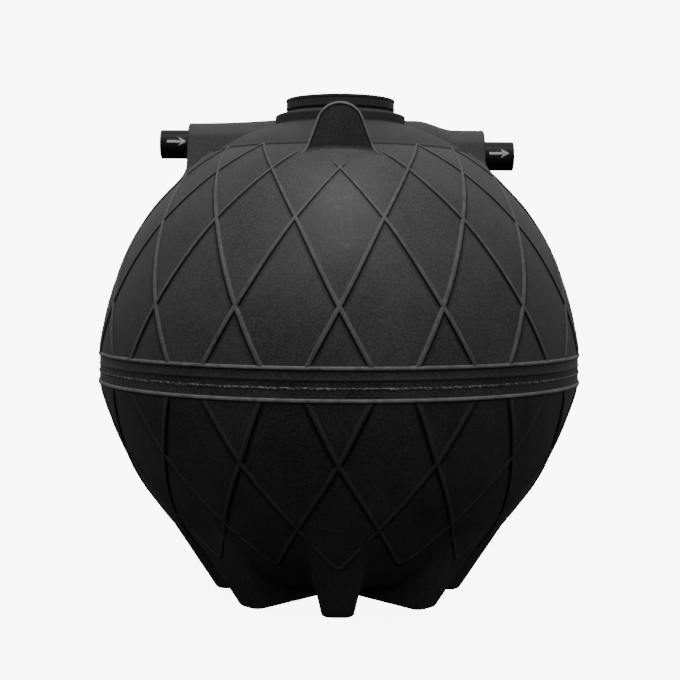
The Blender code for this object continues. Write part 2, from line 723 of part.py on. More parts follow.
def build_ear(name, quarter_turns, trims, parts, material):
    """Lifting ear: an upright bell-shaped face, thick at the root, with a sloping back."""
    outline = standing_outline(EAR_TOP, EAR_CAP_RADIUS, EAR_SPLAY, EAR_FACE)
    mesh = prism(name, outline, EAR_FACE - EAR_THICKNESS, EAR_FACE)
    for vert in mesh.vertices:
        if vert.co.x < EAR_FACE - EAR_THICKNESS / 2:
            vert.co.x += EAR_BACK_SLOPE * (vert.co.z - dome_height(EAR_FACE - EAR_THICKNESS))
    ear = add_object(name, mesh, parts, material)
    ear.rotation_euler.z = quarter_turns * math.pi / 2
    bevel(ear, EDGE_ROUND, 2)
    cut(ear, trims["dome"])
    return ear


def build():
    """Build the whole tank."""
    clear_scene()
    parts = add_collection("wastewater_treatment_tank")
    cutters = add_collection("cutters")
    shell_plastic = plastic("black_polyethylene", (0.022, 0.022, 0.023), 0.45)
    lid_plastic = plastic("black_lid_polyethylene", (0.018, 0.018, 0.019), 0.42)
    pipe_plastic = plastic("black_pipe", (0.008, 0.008, 0.009), 0.38)

    trims = build_cutters(cutters)
    ear_outline = standing_outline(EAR_TOP, EAR_CAP_RADIUS, EAR_SPLAY, EAR_FACE)
    inlet_outline = standing_outline(INLET_TOP, INLET_CAP_RADIUS, HOUSING_SPLAY, INLET_FACE)
    outlet_outline = standing_outline(OUTLET_TOP, OUTLET_CAP_RADIUS, HOUSING_SPLAY, OUTLET_FACE)
    standing = (
        (-1, ear_outline, EAR_FACE),
        (1, ear_outline, EAR_FACE),
        (2, inlet_outline, INLET_FACE),
        (0, outlet_outline, OUTLET_FACE),
    )
    shell, sectors = build_shell(parts, cutters, shell_plastic, standing)
    build_floor(parts, shell_plastic)
    build_feet(parts, sectors, trims, shell_plastic)
    build_belt(parts, shell_plastic)
    build_neck(parts, shell_plastic)
    build_lid(parts, lid_plastic)

    ports = (
        ("inlet", -1, INLET_HEIGHT, INLET_FACE, INLET_END, INLET_TOP, INLET_CAP_RADIUS, "left"),
        ("outlet", 1, OUTLET_HEIGHT, OUTLET_FACE, OUTLET_END, OUTLET_TOP, OUTLET_CAP_RADIUS, "right"),
    )
    for name, side, height, face, end, top, cap_radius, where in ports:
        hole = build_pipe(name + "_pipe", side, height, face, end, parts, cutters, pipe_plastic)
        housing = build_housing(name + "_housing", side, top, cap_radius, face,
                                trims, parts, cutters, shell_plastic)
        cut(housing, hole)
        slot = build_slot(name + "_slot", side, face, cutters)
        cut(shell["crown_" + where], slot)
        cut(shell["upper_shell_" + where], slot)
        cut(shell["upper_shell_" + where], hole)

    build_ear("front_lifting_ear", -1, trims, parts, shell_plastic)
    build_ear("back_lifting_ear", 1, trims, parts, shell_plastic)


build()
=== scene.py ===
from math import acos, asin, ceil, cos, hypot, pi, radians, sin, sqrt, tan, tau

import bmesh
import bpy
import numpy as np
from mathutils import Matrix, Vector
from mathutils.bvhtree import BVHTree


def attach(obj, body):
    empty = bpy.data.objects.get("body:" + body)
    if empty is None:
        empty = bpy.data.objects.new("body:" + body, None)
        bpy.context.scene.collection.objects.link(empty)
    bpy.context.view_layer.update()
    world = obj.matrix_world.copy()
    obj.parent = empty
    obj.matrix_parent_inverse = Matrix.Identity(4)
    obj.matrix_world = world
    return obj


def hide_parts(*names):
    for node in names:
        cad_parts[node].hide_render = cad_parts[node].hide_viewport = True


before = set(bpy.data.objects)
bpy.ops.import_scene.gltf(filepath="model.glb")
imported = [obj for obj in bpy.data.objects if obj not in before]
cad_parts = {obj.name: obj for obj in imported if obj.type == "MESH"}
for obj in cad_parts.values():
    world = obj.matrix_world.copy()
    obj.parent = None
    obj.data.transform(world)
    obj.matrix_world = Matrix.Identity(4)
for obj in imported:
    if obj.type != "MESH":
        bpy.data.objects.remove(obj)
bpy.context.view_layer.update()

# Lower half of the shell. The real one is a bowl of black polyethylene about 10 mm thick, moulded in
# one with its lattice of rounded ribs. The ribs end in blunt points above the feet, and the bowl
# curves into the flat floor.
WALL = 0.010
SECTORS = ("right", "back_right", "back", "back_left", "left", "front_left", "front", "front_right")
DIAMONDS = 16
DIAMOND_ANGLE = tau / DIAMONDS
LOWER_CENTRE = Vector((-0.2668, 1.1094))
LOWER_RADIUS = 1.2303
LOWER_RIM = 0.8155
FLOOR_HEIGHT = 0.095
FLOOR_FILLET = 0.080
FLOOR_EDGE = 0.3803

# Half of a rib's width as a share of the distance between two parallel ribs, and the lines of the
# sheet on each side of a rib in the same shares
RIB_SHARE = 0.0320
RIB_PROFILE = (0.0, 0.25, 0.48, 0.67, 0.81, 0.91, 0.98, 1.06, 1.22, 1.6)
RIB_LINES = tuple(RIB_SHARE * step for step in RIB_PROFILE) + (0.085, 0.14, 0.22, 0.35)

# Distances from a rib's middle, in its half widths, over which its pale crest ends and over which the
# painted shade along its lower foot starts and ends. The crest is partly rubbing and partly painted
# highlight.
RIB_CREST = (0.67, 0.98)
RIB_FOOT = (0.55, 0.75, 1.30, 1.85)

# Distance from the belt over which the ribs reach their full size
RIB_RUNOUT = 0.03

# Edges between faces that meet at more than this stay sharp on the ribbed halves
RIBBED_SHARP_ANGLE = radians(70)


def arc(centre, radius, start, end, spacing=0.002):
    """Points along an arc in the plane of radius and height."""
    count = max(2, ceil(abs(end - start) * radius / spacing))
    angles = [start + (end - start) * step / count for step in range(count + 1)]
    return [centre + radius * Vector((cos(angle), sin(angle))) for angle in angles]


class Meridian:
    """Profile of a turned wall, read by the distance along it."""

    def __init__(self, points):
        self.points = np.array([tuple(point) for point in points])
        lengths = np.hypot(*np.diff(self.points, axis=0).T)
        self.along = np.concatenate(([0.0], np.cumsum(lengths)))
        self.length = self.along[-1]

    def at(self, distance):
        """Radius and height at a distance along the wall."""
        radius = np.interp(distance, self.along, self.points[:, 0])
        height = np.interp(distance, self.along, self.points[:, 1])
        return radius, height


class Rows:
    """Distance along the wall for each phase of the lattice, on a smooth curve through its rows."""

    def __init__(self, rows):
        self.phase, self.distance = np.array(rows, float).T
        slope = np.diff(self.distance) / np.diff(self.phase)
        middle = 2 * slope[1:] * slope[:-1] / (slope[1:] + slope[:-1])
        self.slope = np.concatenate(([slope[0]], middle, [slope[-1]]))

    def at(self, phase):
        """Distance along the wall at a phase."""
        index = np.clip(np.searchsorted(self.phase, phase) - 1, 0, len(self.phase) - 2)
        width = self.phase[index + 1] - self.phase[index]
        t = (phase - self.phase[index]) / width
        start = self.distance[index] * (1 + 2 * t) * (1 - t) ** 2
        end = self.distance[index + 1] * t ** 2 * (3 - 2 * t)
        lean_start = width * self.slope[index] * t * (1 - t) ** 2
        lean_end = width * self.slope[index + 1] * t ** 2 * (t - 1)
        return start + end + lean_start + lean_end


def cut_plane(solid, point, out, near, drop=False):
    """Cut a mesh along a plane. What lies on its outer side may be dropped."""
    everything = solid.verts[:] + solid.edges[:] + solid.faces[:]
    bmesh.ops.bisect_plane(solid, geom=everything, plane_co=point, plane_no=out,
                           clear_outer=drop, dist=near)


def new_mesh(name, solid):
    """Mesh from a bmesh, which is freed."""
    mesh = bpy.data.meshes.new(name)
    solid.to_mesh(mesh)
    solid.free()
    return mesh


def lattice_sheet(low, high, extra_rows):
    """Flat sheet, X counted in diamonds and Y in phases, with its edges along and across the ribs."""
    offsets = sorted({side * line for line in RIB_LINES for side in (-1, 1)} | {0.5})
    lines = np.array([whole + offset for whole in range(-3, DIAMONDS + 4) for offset in offsets])
    first, second = np.meshgrid(lines, lines, indexing="ij")
    across = (first + second) / 2
    phase = (second - first) / 2
    margin = 0.12
    kept = (phase > low - margin) & (phase < high + margin)
    kept &= (across > -margin) & (across < DIAMONDS + margin)
    number = np.cumsum(kept.ravel()).reshape(kept.shape) - 1
    square = kept[:-1, :-1] & kept[1:, :-1] & kept[1:, 1:] & kept[:-1, 1:]
    corners = [number[:-1, :-1], number[1:, :-1], number[1:, 1:], number[:-1, 1:]]
    faces = np.stack([corner[square] for corner in corners], axis=1)
    verts = np.stack((across[kept], phase[kept], np.zeros(kept.sum())), axis=1)
    flat = bpy.data.meshes.new("flat_sheet")
    flat.from_pydata(verts.tolist(), [], faces.tolist())
    sheet = bmesh.new()
    sheet.from_mesh(flat)
    bpy.data.meshes.remove(flat)
    for point, out in (((0, low, 0), (0, -1, 0)), ((0, high, 0), (0, 1, 0)),
                       ((0, 0, 0), (-1, 0, 0)), ((DIAMONDS, 0, 0), (1, 0, 0))):
        cut_plane(sheet, point, out, 1e-5, drop=True)
    for phase_line in extra_rows:
        cut_plane(sheet, (0, phase_line, 0), (0, 1, 0), 1e-5)
    return sheet


def lattice_wall(name, meridian, rows, downward, rib_size, extra_rows=(), rounded_foot=0.0):
    """Half of the shell as an open sheet in place. Stored on it are its distances from the two
    families of ribs, in half widths of a rib, the pale crests of the ribs, partly rubbing and partly
    painted highlight, and the painted shade along the lower feet of the ribs."""
    sheet = lattice_sheet(float(rows.phase[0]), float(rows.phase[-1]), extra_rows)
    flat = np.array([vert.co[:2] for vert in sheet.verts])
    across, phase = flat[:, 0], flat[:, 1]
    distance = rows.at(phase)
    radius, height = meridian.at(distance)
    angle = across * DIAMOND_ANGLE
    one = downward * (np.round(across - phase) - (across - phase)) / RIB_SHARE
    other = downward * ((across + phase) - np.round(across + phase)) / RIB_SHARE
    if rounded_foot:
        side = np.abs(across - np.round(across))
        soft = rounded_foot * np.clip((phase - 0.5) / 0.5, 0, 1)
        one, other = (
            np.where(phase > 0.5, (np.sqrt(gap ** 2 + soft ** 2) - (1 - phase)) / RIB_SHARE, plain)
            for gap, plain in ((side, one), (1 - side, other)))
    x = radius * np.sin(angle)
    y = -radius * np.cos(angle)
    size = rib_size(distance=distance, phase=phase, x=x, radius=radius)
    # Pale crests on both sides of each rib's middle, partly rubbing and partly painted highlight;
    # painted shade only on the lower side of each rib, which light from above misses
    crests = [np.interp(np.abs(side), RIB_CREST, (1, 0)) for side in (one, other)]
    feet = [np.interp(side, RIB_FOOT, (0, 1, 1, 0)) for side in (one, other)]
    crest = np.maximum(*crests) * size
    foot = np.maximum(feet[0] * (1 - crests[1]), feet[1] * (1 - crests[0])) * size
    stored = {"across_one": np.abs(one), "across_other": np.abs(other), "rib_size": size,
              "crest": crest, "foot": foot}
    layers = [sheet.verts.layers.float.new(layer) for layer in stored]
    for index, vert in enumerate(sheet.verts):
        vert.co = (x[index], y[index], height[index])
        for layer, values in zip(layers, stored.values()):
            vert[layer] = float(values[index])
    bmesh.ops.remove_doubles(sheet, verts=sheet.verts[:], dist=2e-5)
    bmesh.ops.dissolve_degenerate(sheet, dist=1e-6, edges=sheet.edges[:])
    sheet.faces.ensure_lookup_table()
    sheet.normal_update()
    middle = sheet.faces[len(sheet.faces) // 2]
    place = middle.calc_center_median()
    if middle.normal.dot(Vector((place.x, place.y, 0.0))) < 0:
        bmesh.ops.reverse_faces(sheet, faces=sheet.faces[:])
    for face in sheet.faces:
        face.smooth = True
    return new_mesh(name, sheet)


def add_piece(name, mesh):
    """Put a mesh in the scene at the origin under a name."""
    piece = bpy.data.objects.new(name, mesh)
    bpy.context.scene.collection.objects.link(piece)
    return piece


def settle(piece):
    """Turn a piece with modifiers into a plain mesh with the same name."""
    bpy.context.view_layer.update()
    view = bpy.context.evaluated_depsgraph_get()
    mesh = bpy.data.meshes.new_from_object(piece.evaluated_get(view))
    piece.modifiers.clear()
    piece.data = mesh


def fill_inputs(tree, node, inputs):
    """Put a socket or a value on each input that is given."""
    for label, value in inputs.items():
        if isinstance(value, bpy.types.NodeSocket):
            tree.links.new(value, node.inputs[label])
        else:
            node.inputs[label].default_value = value


def add_node(tree, kind, inputs=None, **settings):
    """Node with its settings and its inputs."""
    node = tree.nodes.new(kind)
    for name, value in settings.items():
        setattr(node, name, value)
    fill_inputs(tree, node, inputs or {})
    return node


def new_tree(kind, name, inputs, outputs):
    """Node tree whose inputs and outputs are given as labels with the kinds of their sockets."""
    tree = bpy.data.node_groups.new(name, kind)
    for in_out, sockets in (("INPUT", inputs), ("OUTPUT", outputs)):
        for label, socket in sockets.items():
            tree.interface.new_socket(label, in_out=in_out, socket_type="NodeSocket" + socket)
    return tree, tree.nodes.new("NodeGroupInput").outputs, tree.nodes.new("NodeGroupOutput").inputs


def geometry_tree(name, *numbers, kind="Float"):
    """Geometry tree with a mesh in and out, named numbers and a material."""
    numbers = dict.fromkeys(numbers, kind)
    return new_tree("GeometryNodeTree", name, {
        "Mesh": "Geometry", **numbers, "Material": "Material"}, {"Mesh": "Geometry"})


def calculate(tree, operation, *values, clamp=False):
    """Result of a maths node on numbers or sockets."""
    return add_node(tree, "ShaderNodeMath", dict(enumerate(values)), operation=operation,
                    use_clamp=clamp).outputs[0]


def product(tree, *values, clamp=False):
    """Product of numbers or sockets."""
    *others, last = values
    first = product(tree, *others) if len(others) > 1 else others[0]
    return calculate(tree, "MULTIPLY", first, last, clamp=clamp)


def finish_tree(tree, given, last, result):
    """End a geometry tree in Realize Instances and Set Material."""
    realized = add_node(tree, "GeometryNodeRealizeInstances", {"Geometry": result}).outputs[0]
    painted = add_node(tree, "GeometryNodeSetMaterial", {
        "Geometry": realized, "Material": given["Material"]}).outputs[0]
    tree.links.new(painted, last["Mesh"])
    return tree


def run_tree(piece, tree, **values):
    """Put a geometry tree on a piece, with its inputs set by the sockets' identifiers."""
    modifier = piece.modifiers.new(tree.name, "NODES")
    modifier.node_group = tree
    for item in tree.interface.items_tree:
        label = item.name.replace(" ", "_").lower()
        if item.item_type == "SOCKET" and item.in_out == "INPUT" and label in values:
            modifier[item.identifier] = values[label]


def named_number(tree, name):
    """A number that is stored on the mesh."""
    return add_node(tree, "GeometryNodeInputNamedAttribute", {"Name": name},
                    data_type="FLOAT").outputs["Attribute"]


def push_out(tree, mesh, distance):
    """Mesh with its points moved along their normals."""
    normal = add_node(tree, "GeometryNodeInputNormal").outputs[0]
    offset = add_node(tree, "ShaderNodeVectorMath", {0: normal, "Scale": distance}, operation="SCALE")
    return add_node(tree, "GeometryNodeSetPosition", {
        "Geometry": mesh, "Offset": offset.outputs[0]}).outputs[0]


def raised_ribs_tree():
    """Lifts a sheet along its normals into rounded ribs, which merge softly where they cross."""
    tree, given, last = geometry_tree("raised_ribs", "Rib Height", "Roundness", "Crossing Blend")
    blend = given["Crossing Blend"]
    bumps = []
    for name in ("across_one", "across_other"):
        share = named_number(tree, name)
        inside = calculate(tree, "SUBTRACT", 1.0, product(tree, share, share), clamp=True)
        bumps.append(calculate(tree, "POWER", inside, given["Roundness"]))
    both = calculate(tree, "SMOOTH_MAX", *bumps, blend)
    wanted = calculate(tree, "SUBTRACT", both, product(tree, blend, 1 / 6), clamp=True)
    height = product(tree, wanted, named_number(tree, "rib_size"), given["Rib Height"])
    return finish_tree(tree, given, last, push_out(tree, given["Mesh"], height))


def finish_group(group, last, **results):
    """Link each result to the group's output of that name."""
    for label, result in results.items():
        group.links.new(result, last[label])
    return group


def noise(tree, place, scale, detail, roughness=0.55):
    """Noise pattern on a place, from 0 to 1."""
    return add_node(tree, "ShaderNodeTexNoise", {
        "Vector": place, "Scale": scale, "Detail": detail, "Roughness": roughness}).outputs["Fac"]


def spread(tree, value, low, high, to_low=0.0, to_high=1.0):
    """Map a value smoothly from one range to another."""
    return add_node(tree, "ShaderNodeMapRange", {
        "Value": value, "From Min": low, "From Max": high, "To Min": to_low, "To Max": to_high,
    }, interpolation_type="SMOOTHSTEP").outputs["Result"]


def moulded_skin_group():
    """Skin of a rotational moulding: fine grain, a soft waviness, pinholes and cloudy tone."""
    group, given, last = new_tree("ShaderNodeTree", "moulded_skin", {
        "Place": "Vector", "Grain Size": "Float", "Wave Size": "Float", "Pinholes": "Float",
    }, {"Tone": "Float", "Gloss": "Float", "Height": "Float"})
    place, grain_size = given["Place"], given["Grain Size"]
    grain = noise(group, place, grain_size, 3.0, 0.65)
    pebble = noise(group, place, product(group, grain_size, 0.36), 3.0)
    wave = noise(group, place, given["Wave Size"], 2.0, 0.4)
    cloud = noise(group, place, 3.2, 6.0, 0.6)
    cells = add_node(group, "ShaderNodeTexVoronoi", {"Vector": place, "Scale": 150.0})
    hole = calculate(group, "SUBTRACT", 1.0, spread(group, cells.outputs["Distance"], 0.04, 0.13))
    rare = spread(group, noise(group, place, 34.0, 1.0), 0.56, 0.66)
    height = calculate(group, "MULTIPLY_ADD", grain, 0.35, product(group, pebble, 0.45))
    height = calculate(group, "MULTIPLY_ADD", wave, 2.2, height)
    height = calculate(group, "SUBTRACT", height, product(group, hole, rare, given["Pinholes"]))
    tone = calculate(group, "MULTIPLY_ADD", spread(group, pebble, 0.37, 0.63), 0.50,
                     product(group, spread(group, cloud, 0.2, 0.8), 0.50))
    gloss = calculate(group, "MULTIPLY_ADD", spread(group, cloud, 0.32, 0.68), 0.6,
                      product(group, spread(group, pebble, 0.3, 0.7), 0.4))
    return finish_group(group, last, Tone=tone, Gloss=gloss, Height=height)


def dust_and_top_light_group():
    """Mask of thin pale dust, which lies on what faces up and gathers in patches. Lightening what
    faces up, it also stands in for light from above as painted light.
    """
    group, given, last = new_tree("ShaderNodeTree", "settled_dust", {
        "Place": "Vector", "Facing": "Vector", "Amount": "Float"}, {"Dust": "Float"})
    # Paler towards what faces up: dust, and painted light from above
    up = add_node(group, "ShaderNodeSeparateXYZ", {0: given["Facing"]}).outputs["Z"]
    patch = spread(group, noise(group, given["Place"], 5.0, 8.0, 0.68), 0.34, 0.72, 0.35, 1.0)
    speck = spread(group, noise(group, given["Place"], 190.0, 2.0, 0.6), 0.45, 0.78, 0.75, 1.25)
    return finish_group(group, last, Dust=product(
        group, spread(group, up, 0.05, 0.95), patch, speck, given["Amount"], clamp=True))


skin_group = moulded_skin_group()
dust_light_group = dust_and_top_light_group()


def mix_colour(tree, factor, first, second):
    """Mix two colours, each a socket or a value."""
    inputs = {"Factor": factor}
    for index, colour in ((6, first), (7, second)):
        inputs[index] = colour if isinstance(colour, bpy.types.NodeSocket) else (*colour, 1.0)
    return add_node(tree, "ShaderNodeMix", inputs, data_type="RGBA").outputs[2]


def crest_highlight_and_shade_group():
    """Pale crest along a raised line, partly uneven rubbing and partly painted highlight. Its lower
    foot gets painted shade, near black.
    """
    group, given, last = new_tree("ShaderNodeTree", "rubbed_crest", {
        "Place": "Vector", "Stored Crest": "Float", "Stored Foot": "Float",
    }, {"Crest": "Float", "Foot": "Float"})
    pale_crest = spread(group, noise(group, given["Place"], 24.0, 6.0, 0.75), 0.30, 0.66, 0.30, 1.0)
    return finish_group(group, last,
                        Crest=product(group, given["Stored Crest"], pale_crest, clamp=True),
                        Foot=product(group, given["Stored Foot"], 0.97, clamp=True))


crest_group = crest_highlight_and_shade_group()
# Pale dust colour; on what faces up it also stands in for light from above
DUST_AND_LIGHT_COLOUR = (0.16, 0.158, 0.152)
# Near black painted shade along the lower feet of raised lines
PAINTED_SHADE_COLOUR = (0.0012, 0.0012, 0.0013)
SKIN_DEPTH = 0.0008


def new_material(name):
    """Material with its tree, its shader and the Object coordinates."""
    material = bpy.data.materials.new(name)
    material.use_nodes = True
    tree = material.node_tree
    place = add_node(tree, "ShaderNodeTexCoord").outputs["Object"]
    return material, tree, tree.nodes["Principled BSDF"], place


def cover_surface(tree, shader, colour, roughness, height, bump, depth):
    """Link a colour, a roughness and a height, as a bump, to the shader."""
    relief = add_node(tree, "ShaderNodeBump", {"Strength": bump, "Distance": depth, "Height": height})
    fill_inputs(tree, shader, {
        "Base Color": colour, "Roughness": roughness, "Normal": relief.outputs["Normal"]})


def moulded_plastic(name, dark, light, roughness, dust, specular, grain_size=420.0, bump=0.35,
                    stretch=(1.0, 1.0, 1.0), pinholes=0.5, pale_crest=None):
    """Black moulded plastic with grain, cloudy tone and a film of dust, which on what faces up also
    stands in for light from above as painted light. Raised lines on it may get a paler crest, partly
    rubbing and partly painted highlight, and painted shade along their lower feet."""
    material, tree, shader, place = new_material(name)
    shader.inputs["Specular IOR Level"].default_value = specular
    stretched = add_node(tree, "ShaderNodeMapping", {"Vector": place, "Scale": stretch}).outputs[0]
    skin = add_node(tree, "ShaderNodeGroup", node_tree=skin_group, inputs={
        "Place": stretched, "Grain Size": grain_size, "Wave Size": 9.0,
        "Pinholes": pinholes}).outputs
    facing = add_node(tree, "ShaderNodeNewGeometry").outputs["Normal"]
    # Dust on what faces up, which also paints the tops lighter as light from above would
    dust_and_light_film = add_node(tree, "ShaderNodeGroup", node_tree=dust_light_group, inputs={
        "Place": place, "Facing": facing, "Amount": dust}).outputs["Dust"]
    colour = mix_colour(tree, skin["Tone"], dark, light)
    colour = mix_colour(tree, dust_and_light_film, colour, DUST_AND_LIGHT_COLOUR)
    # Pale crests, partly rubbing and partly painted highlight, and painted shade along the lower feet
    if pale_crest:
        crest, foot = (add_node(tree, "ShaderNodeAttribute", attribute_name=stored).outputs["Fac"]
                       for stored in ("crest", "foot"))
        wear = add_node(tree, "ShaderNodeGroup", node_tree=crest_group, inputs={
            "Place": place, "Stored Crest": crest, "Stored Foot": foot}).outputs
        colour = mix_colour(tree, wear["Crest"], colour, pale_crest)
        colour = mix_colour(tree, wear["Foot"], colour, PAINTED_SHADE_COLOUR)
    gloss = spread(tree, skin["Gloss"], 0.0, 1.0, roughness - 0.05, roughness + 0.07)
    rough = calculate(tree, "MULTIPLY_ADD", dust_and_light_film, 0.25, gloss, clamp=True)
    cover_surface(tree, shader, colour, rough, skin["Height"], bump, SKIN_DEPTH)
    return material


shell_plastic = moulded_plastic("moulded_polyethylene", (0.012, 0.012, 0.0125), (0.037, 0.037, 0.038),
                                roughness=0.55, dust=0.10, specular=0.12)
# The bowl's plastic is a little lighter than the dome's, which stands in for light that the dim lower
# half lacks: painted light. Its rib crests are paled, partly rubbing and partly painted highlight, and
# their lower feet get painted shade
lightened_bowl_plastic = moulded_plastic("ribbed_bowl", (0.013, 0.013, 0.0135), (0.044, 0.044, 0.045),
                               roughness=0.55, dust=0.10, specular=0.12, pale_crest=(0.032, 0.032, 0.032))
ribs_tree = raised_ribs_tree()


def finish_half(piece, material, rib_height):
    """Raise the ribs of a half and give it its wall."""
    run_tree(piece, ribs_tree, rib_height=rib_height, roundness=0.62, crossing_blend=0.12,
             material=material)
    wall = piece.modifiers.new("wall", "SOLIDIFY")
    wall.thickness = WALL
    wall.offset = -1.0
    settle(piece)
    piece.data.set_sharp_from_angle(angle=RIBBED_SHARP_ANGLE)


def claim(piece, *nodes, slot="shell", body="tank"):
    """Hide the solids that a piece stands for, and attach it to the body that it rides on. Its slot is
    not used.
    """
    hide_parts(*nodes)
    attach(piece, body)


floor_drop = LOWER_CENTRE.y - FLOOR_HEIGHT - FLOOR_FILLET
floor_turn = -asin(floor_drop / (LOWER_RADIUS - FLOOR_FILLET))
floor_lean = Vector((cos(floor_turn), sin(floor_turn)))
fillet_centre = LOWER_CENTRE + (LOWER_RADIUS - FLOOR_FILLET) * floor_lean
lower_start = asin((LOWER_RIM - LOWER_CENTRE.y) / LOWER_RADIUS)
lower_meridian = Meridian(
    arc(LOWER_CENTRE, LOWER_RADIUS, lower_start, floor_turn)
    + arc(fillet_centre, FLOOR_FILLET, floor_turn, -pi / 2)[1:]
    + [Vector((FLOOR_EDGE, FLOOR_HEIGHT))])
lower_rows = Rows(((-0.284, 0.0), (0.0, 0.2231), (0.5, 0.5057), (1.0, 0.7396),
                   (1.45, lower_meridian.length)))


def lower_rib_size(distance, phase, **place):
    """Ribs sink a little into the belt and grow lower towards the feet."""
    from_belt = np.clip(0.55 + 0.45 * distance / RIB_RUNOUT, 0, 1)
    return from_belt * np.interp(phase, (0.0, 1.0), (1.0, 0.8))


lower_half = add_piece("lower_half", lattice_wall(
    "lower_half", lower_meridian, lower_rows, 1, lower_rib_size,
    extra_rows=(1.286, 1.31, 1.34, 1.37, 1.397), rounded_foot=0.07))
finish_half(lower_half, lightened_bowl_plastic, rib_height=0.0058)
claim(lower_half, *["lower_shell_" + where for where in SECTORS])

# Floor and hub. The middle of the bowl is a flat disc, and a round boss under it ties the inner ends
# of the feet together. Both belong to the lower moulding.
HUB_RADIUS = 0.1425
SHARP_ANGLE = radians(38)


def bend(start, corner, stop, steps):
    """Points along a curve from start to stop that leans towards a corner."""
    shares = [step / steps for step in range(steps + 1)]
    return [start * (1 - t) ** 2 + corner * 2 * t * (1 - t) + stop * t ** 2 for t in shares]


def soften(corners, closed=True):
    """Outline with its corners rounded: each corner is a radius, a height and a rounding."""
    outline = []
    for index, (radius, height, rounding) in enumerate(corners):
        corner = Vector((radius, height))
        end = not closed and index in (0, len(corners) - 1)
        if rounding <= 0 or end:
            outline.append(corner)
            continue
        before = Vector(corners[index - 1][:2]) - corner
        after = Vector(corners[(index + 1) % len(corners)][:2]) - corner
        start = corner + before.normalized() * min(rounding, before.length * 0.5)
        stop = corner + after.normalized() * min(rounding, after.length * 0.5)
        outline += bend(start, corner, stop, 5)
    return outline


def bridge(solid, first, second, around=True):
    """Faces between two rows of points. A row may be a single point."""
    for step in range(max(len(first), len(second)) - (0 if around else 1)):
        corners = dict.fromkeys((first[step % len(first)], first[(step + 1) % len(first)],
                                 second[(step + 1) % len(second)], second[step % len(second)]))
        if len(corners) > 2:
            solid.faces.new(list(corners))


def turned_mesh(name, outline, facets=256, closed=True):
    """Solid of revolution round Z. An outline that isn't closed starts and ends on the axis."""
    solid = bmesh.new()
    rings = []
    for radius, height in outline:
        count = 1 if radius < 1e-6 else facets
        turns = [tau * step / facets for step in range(count)]
        rings.append([solid.verts.new((radius * cos(turn), radius * sin(turn), height))
                      for turn in turns])
    for first, second in zip(rings, rings[1:] + rings[:closed]):
        bridge(solid, first, second)
    return outward_mesh(name, solid)


def outward_mesh(name, solid, sharp=SHARP_ANGLE):
    """Closed mesh with its faces outwards, smooth but for its real edges."""
    bmesh.ops.recalc_face_normals(solid, faces=solid.faces[:])
    mesh = new_mesh(name, solid)
    mesh.shade_smooth()
    mesh.set_sharp_from_angle(angle=sharp)
    return mesh


def dress(piece, material, *nodes, slot="shell", body="tank"):
    """Give a piece its material, hide the solids that it stands for and attach it to its body. Its slot
    is not used.
    """
    piece.data.materials.clear()
    piece.data.materials.append(material)
    claim(piece, *nodes, slot=slot, body=body)


def round_piece(name, corners, material, node, facets=256, closed=True, **ride):
    """Turned piece with soft corners that stands for one CAD node."""
    mesh = turned_mesh(name, soften(corners, closed), facets, closed)
    dress(add_piece(name, mesh), material, node, **ride)


round_piece("bowl_floor", (
    (0.0, FLOOR_HEIGHT + WALL, 0.0),
    (FLOOR_EDGE - 0.0003, FLOOR_HEIGHT + WALL, 0.001),
    (FLOOR_EDGE - 0.0003, FLOOR_HEIGHT, 0.0005),
    (0.0, FLOOR_HEIGHT, 0.0),
), shell_plastic, "tank_floor", facets=192, closed=False)
round_piece("hub", (
    (0.0, FLOOR_HEIGHT, 0.0),
    (HUB_RADIUS + 0.004, FLOOR_HEIGHT, 0.003),
    (HUB_RADIUS, 0.0, 0.008),
    (0.0, 0.0, 0.0),
), shell_plastic, "foot_hub", facets=192, closed=False)

# Feet. Eight radial feet with flat soles carry the tank. Each is a hollow of the lower moulding with
# splayed sides and a raked outer end, which run into the bowl in soft fillets. The points of the
# lattice come down over their ends as one blunt V.
FOOT_START = 0.125
FOOT_LENGTH = 0.475
FOOT_HALF_WIDTH = 0.0585
FOOT_SIDE_DRAFT = 0.19
FOOT_RAKE = 0.63
FOOT_CORNER = 0.040
FOOT_SOLE_ROUND = 0.009
FOOT_FILLET = 0.034
FOOT_INTO_WALL = 0.004

# Shares of a foot's face, from its inner end: where its straight side and its corner end, and the share
# that the corner and the outer end each take
SIDE_END = 0.6
CORNER_END = 0.8
CORNER_PART = 0.2

# Blunt V over a foot's end: half width and height of its bead, the stations on each side of its point,
# how far it spreads to each side, in diamonds, and how blunt its point is
POINT_HALF_WIDTH = 0.0078
POINT_STATIONS = 30
POINT_HEIGHT = 0.0042
POINT_SPREAD = 0.34
POINT_BLUNTNESS = 0.14


def bowl_height(radius):
    """Height of the outside of the bowl at a distance from the axis."""
    heights = lower_meridian.points[::-1]
    return float(np.interp(radius, heights[:, 0], heights[:, 1]))


def foot_side(share, height):
    """Point and outward direction on the upright face of a foot, from its inner end (0) to its
    middle line at the outer end (1)."""
    reach = FOOT_LENGTH + FOOT_RAKE * height
    width = FOOT_HALF_WIDTH + FOOT_SIDE_DRAFT * height
    if share < SIDE_END:
        along = (reach - FOOT_CORNER - FOOT_START) * share / SIDE_END
        return Vector((FOOT_START + along, width)), Vector((0.0, 1.0))
    if share < CORNER_END:
        turn = (share - SIDE_END) / CORNER_PART * pi / 2
        out = Vector((sin(turn), cos(turn)))
        return Vector((reach - FOOT_CORNER, width - FOOT_CORNER)) + FOOT_CORNER * out, out
    across = (width - FOOT_CORNER) * (1 - (share - CORNER_END) / CORNER_PART)
    return Vector((reach, across)), Vector((1.0, 0.0))


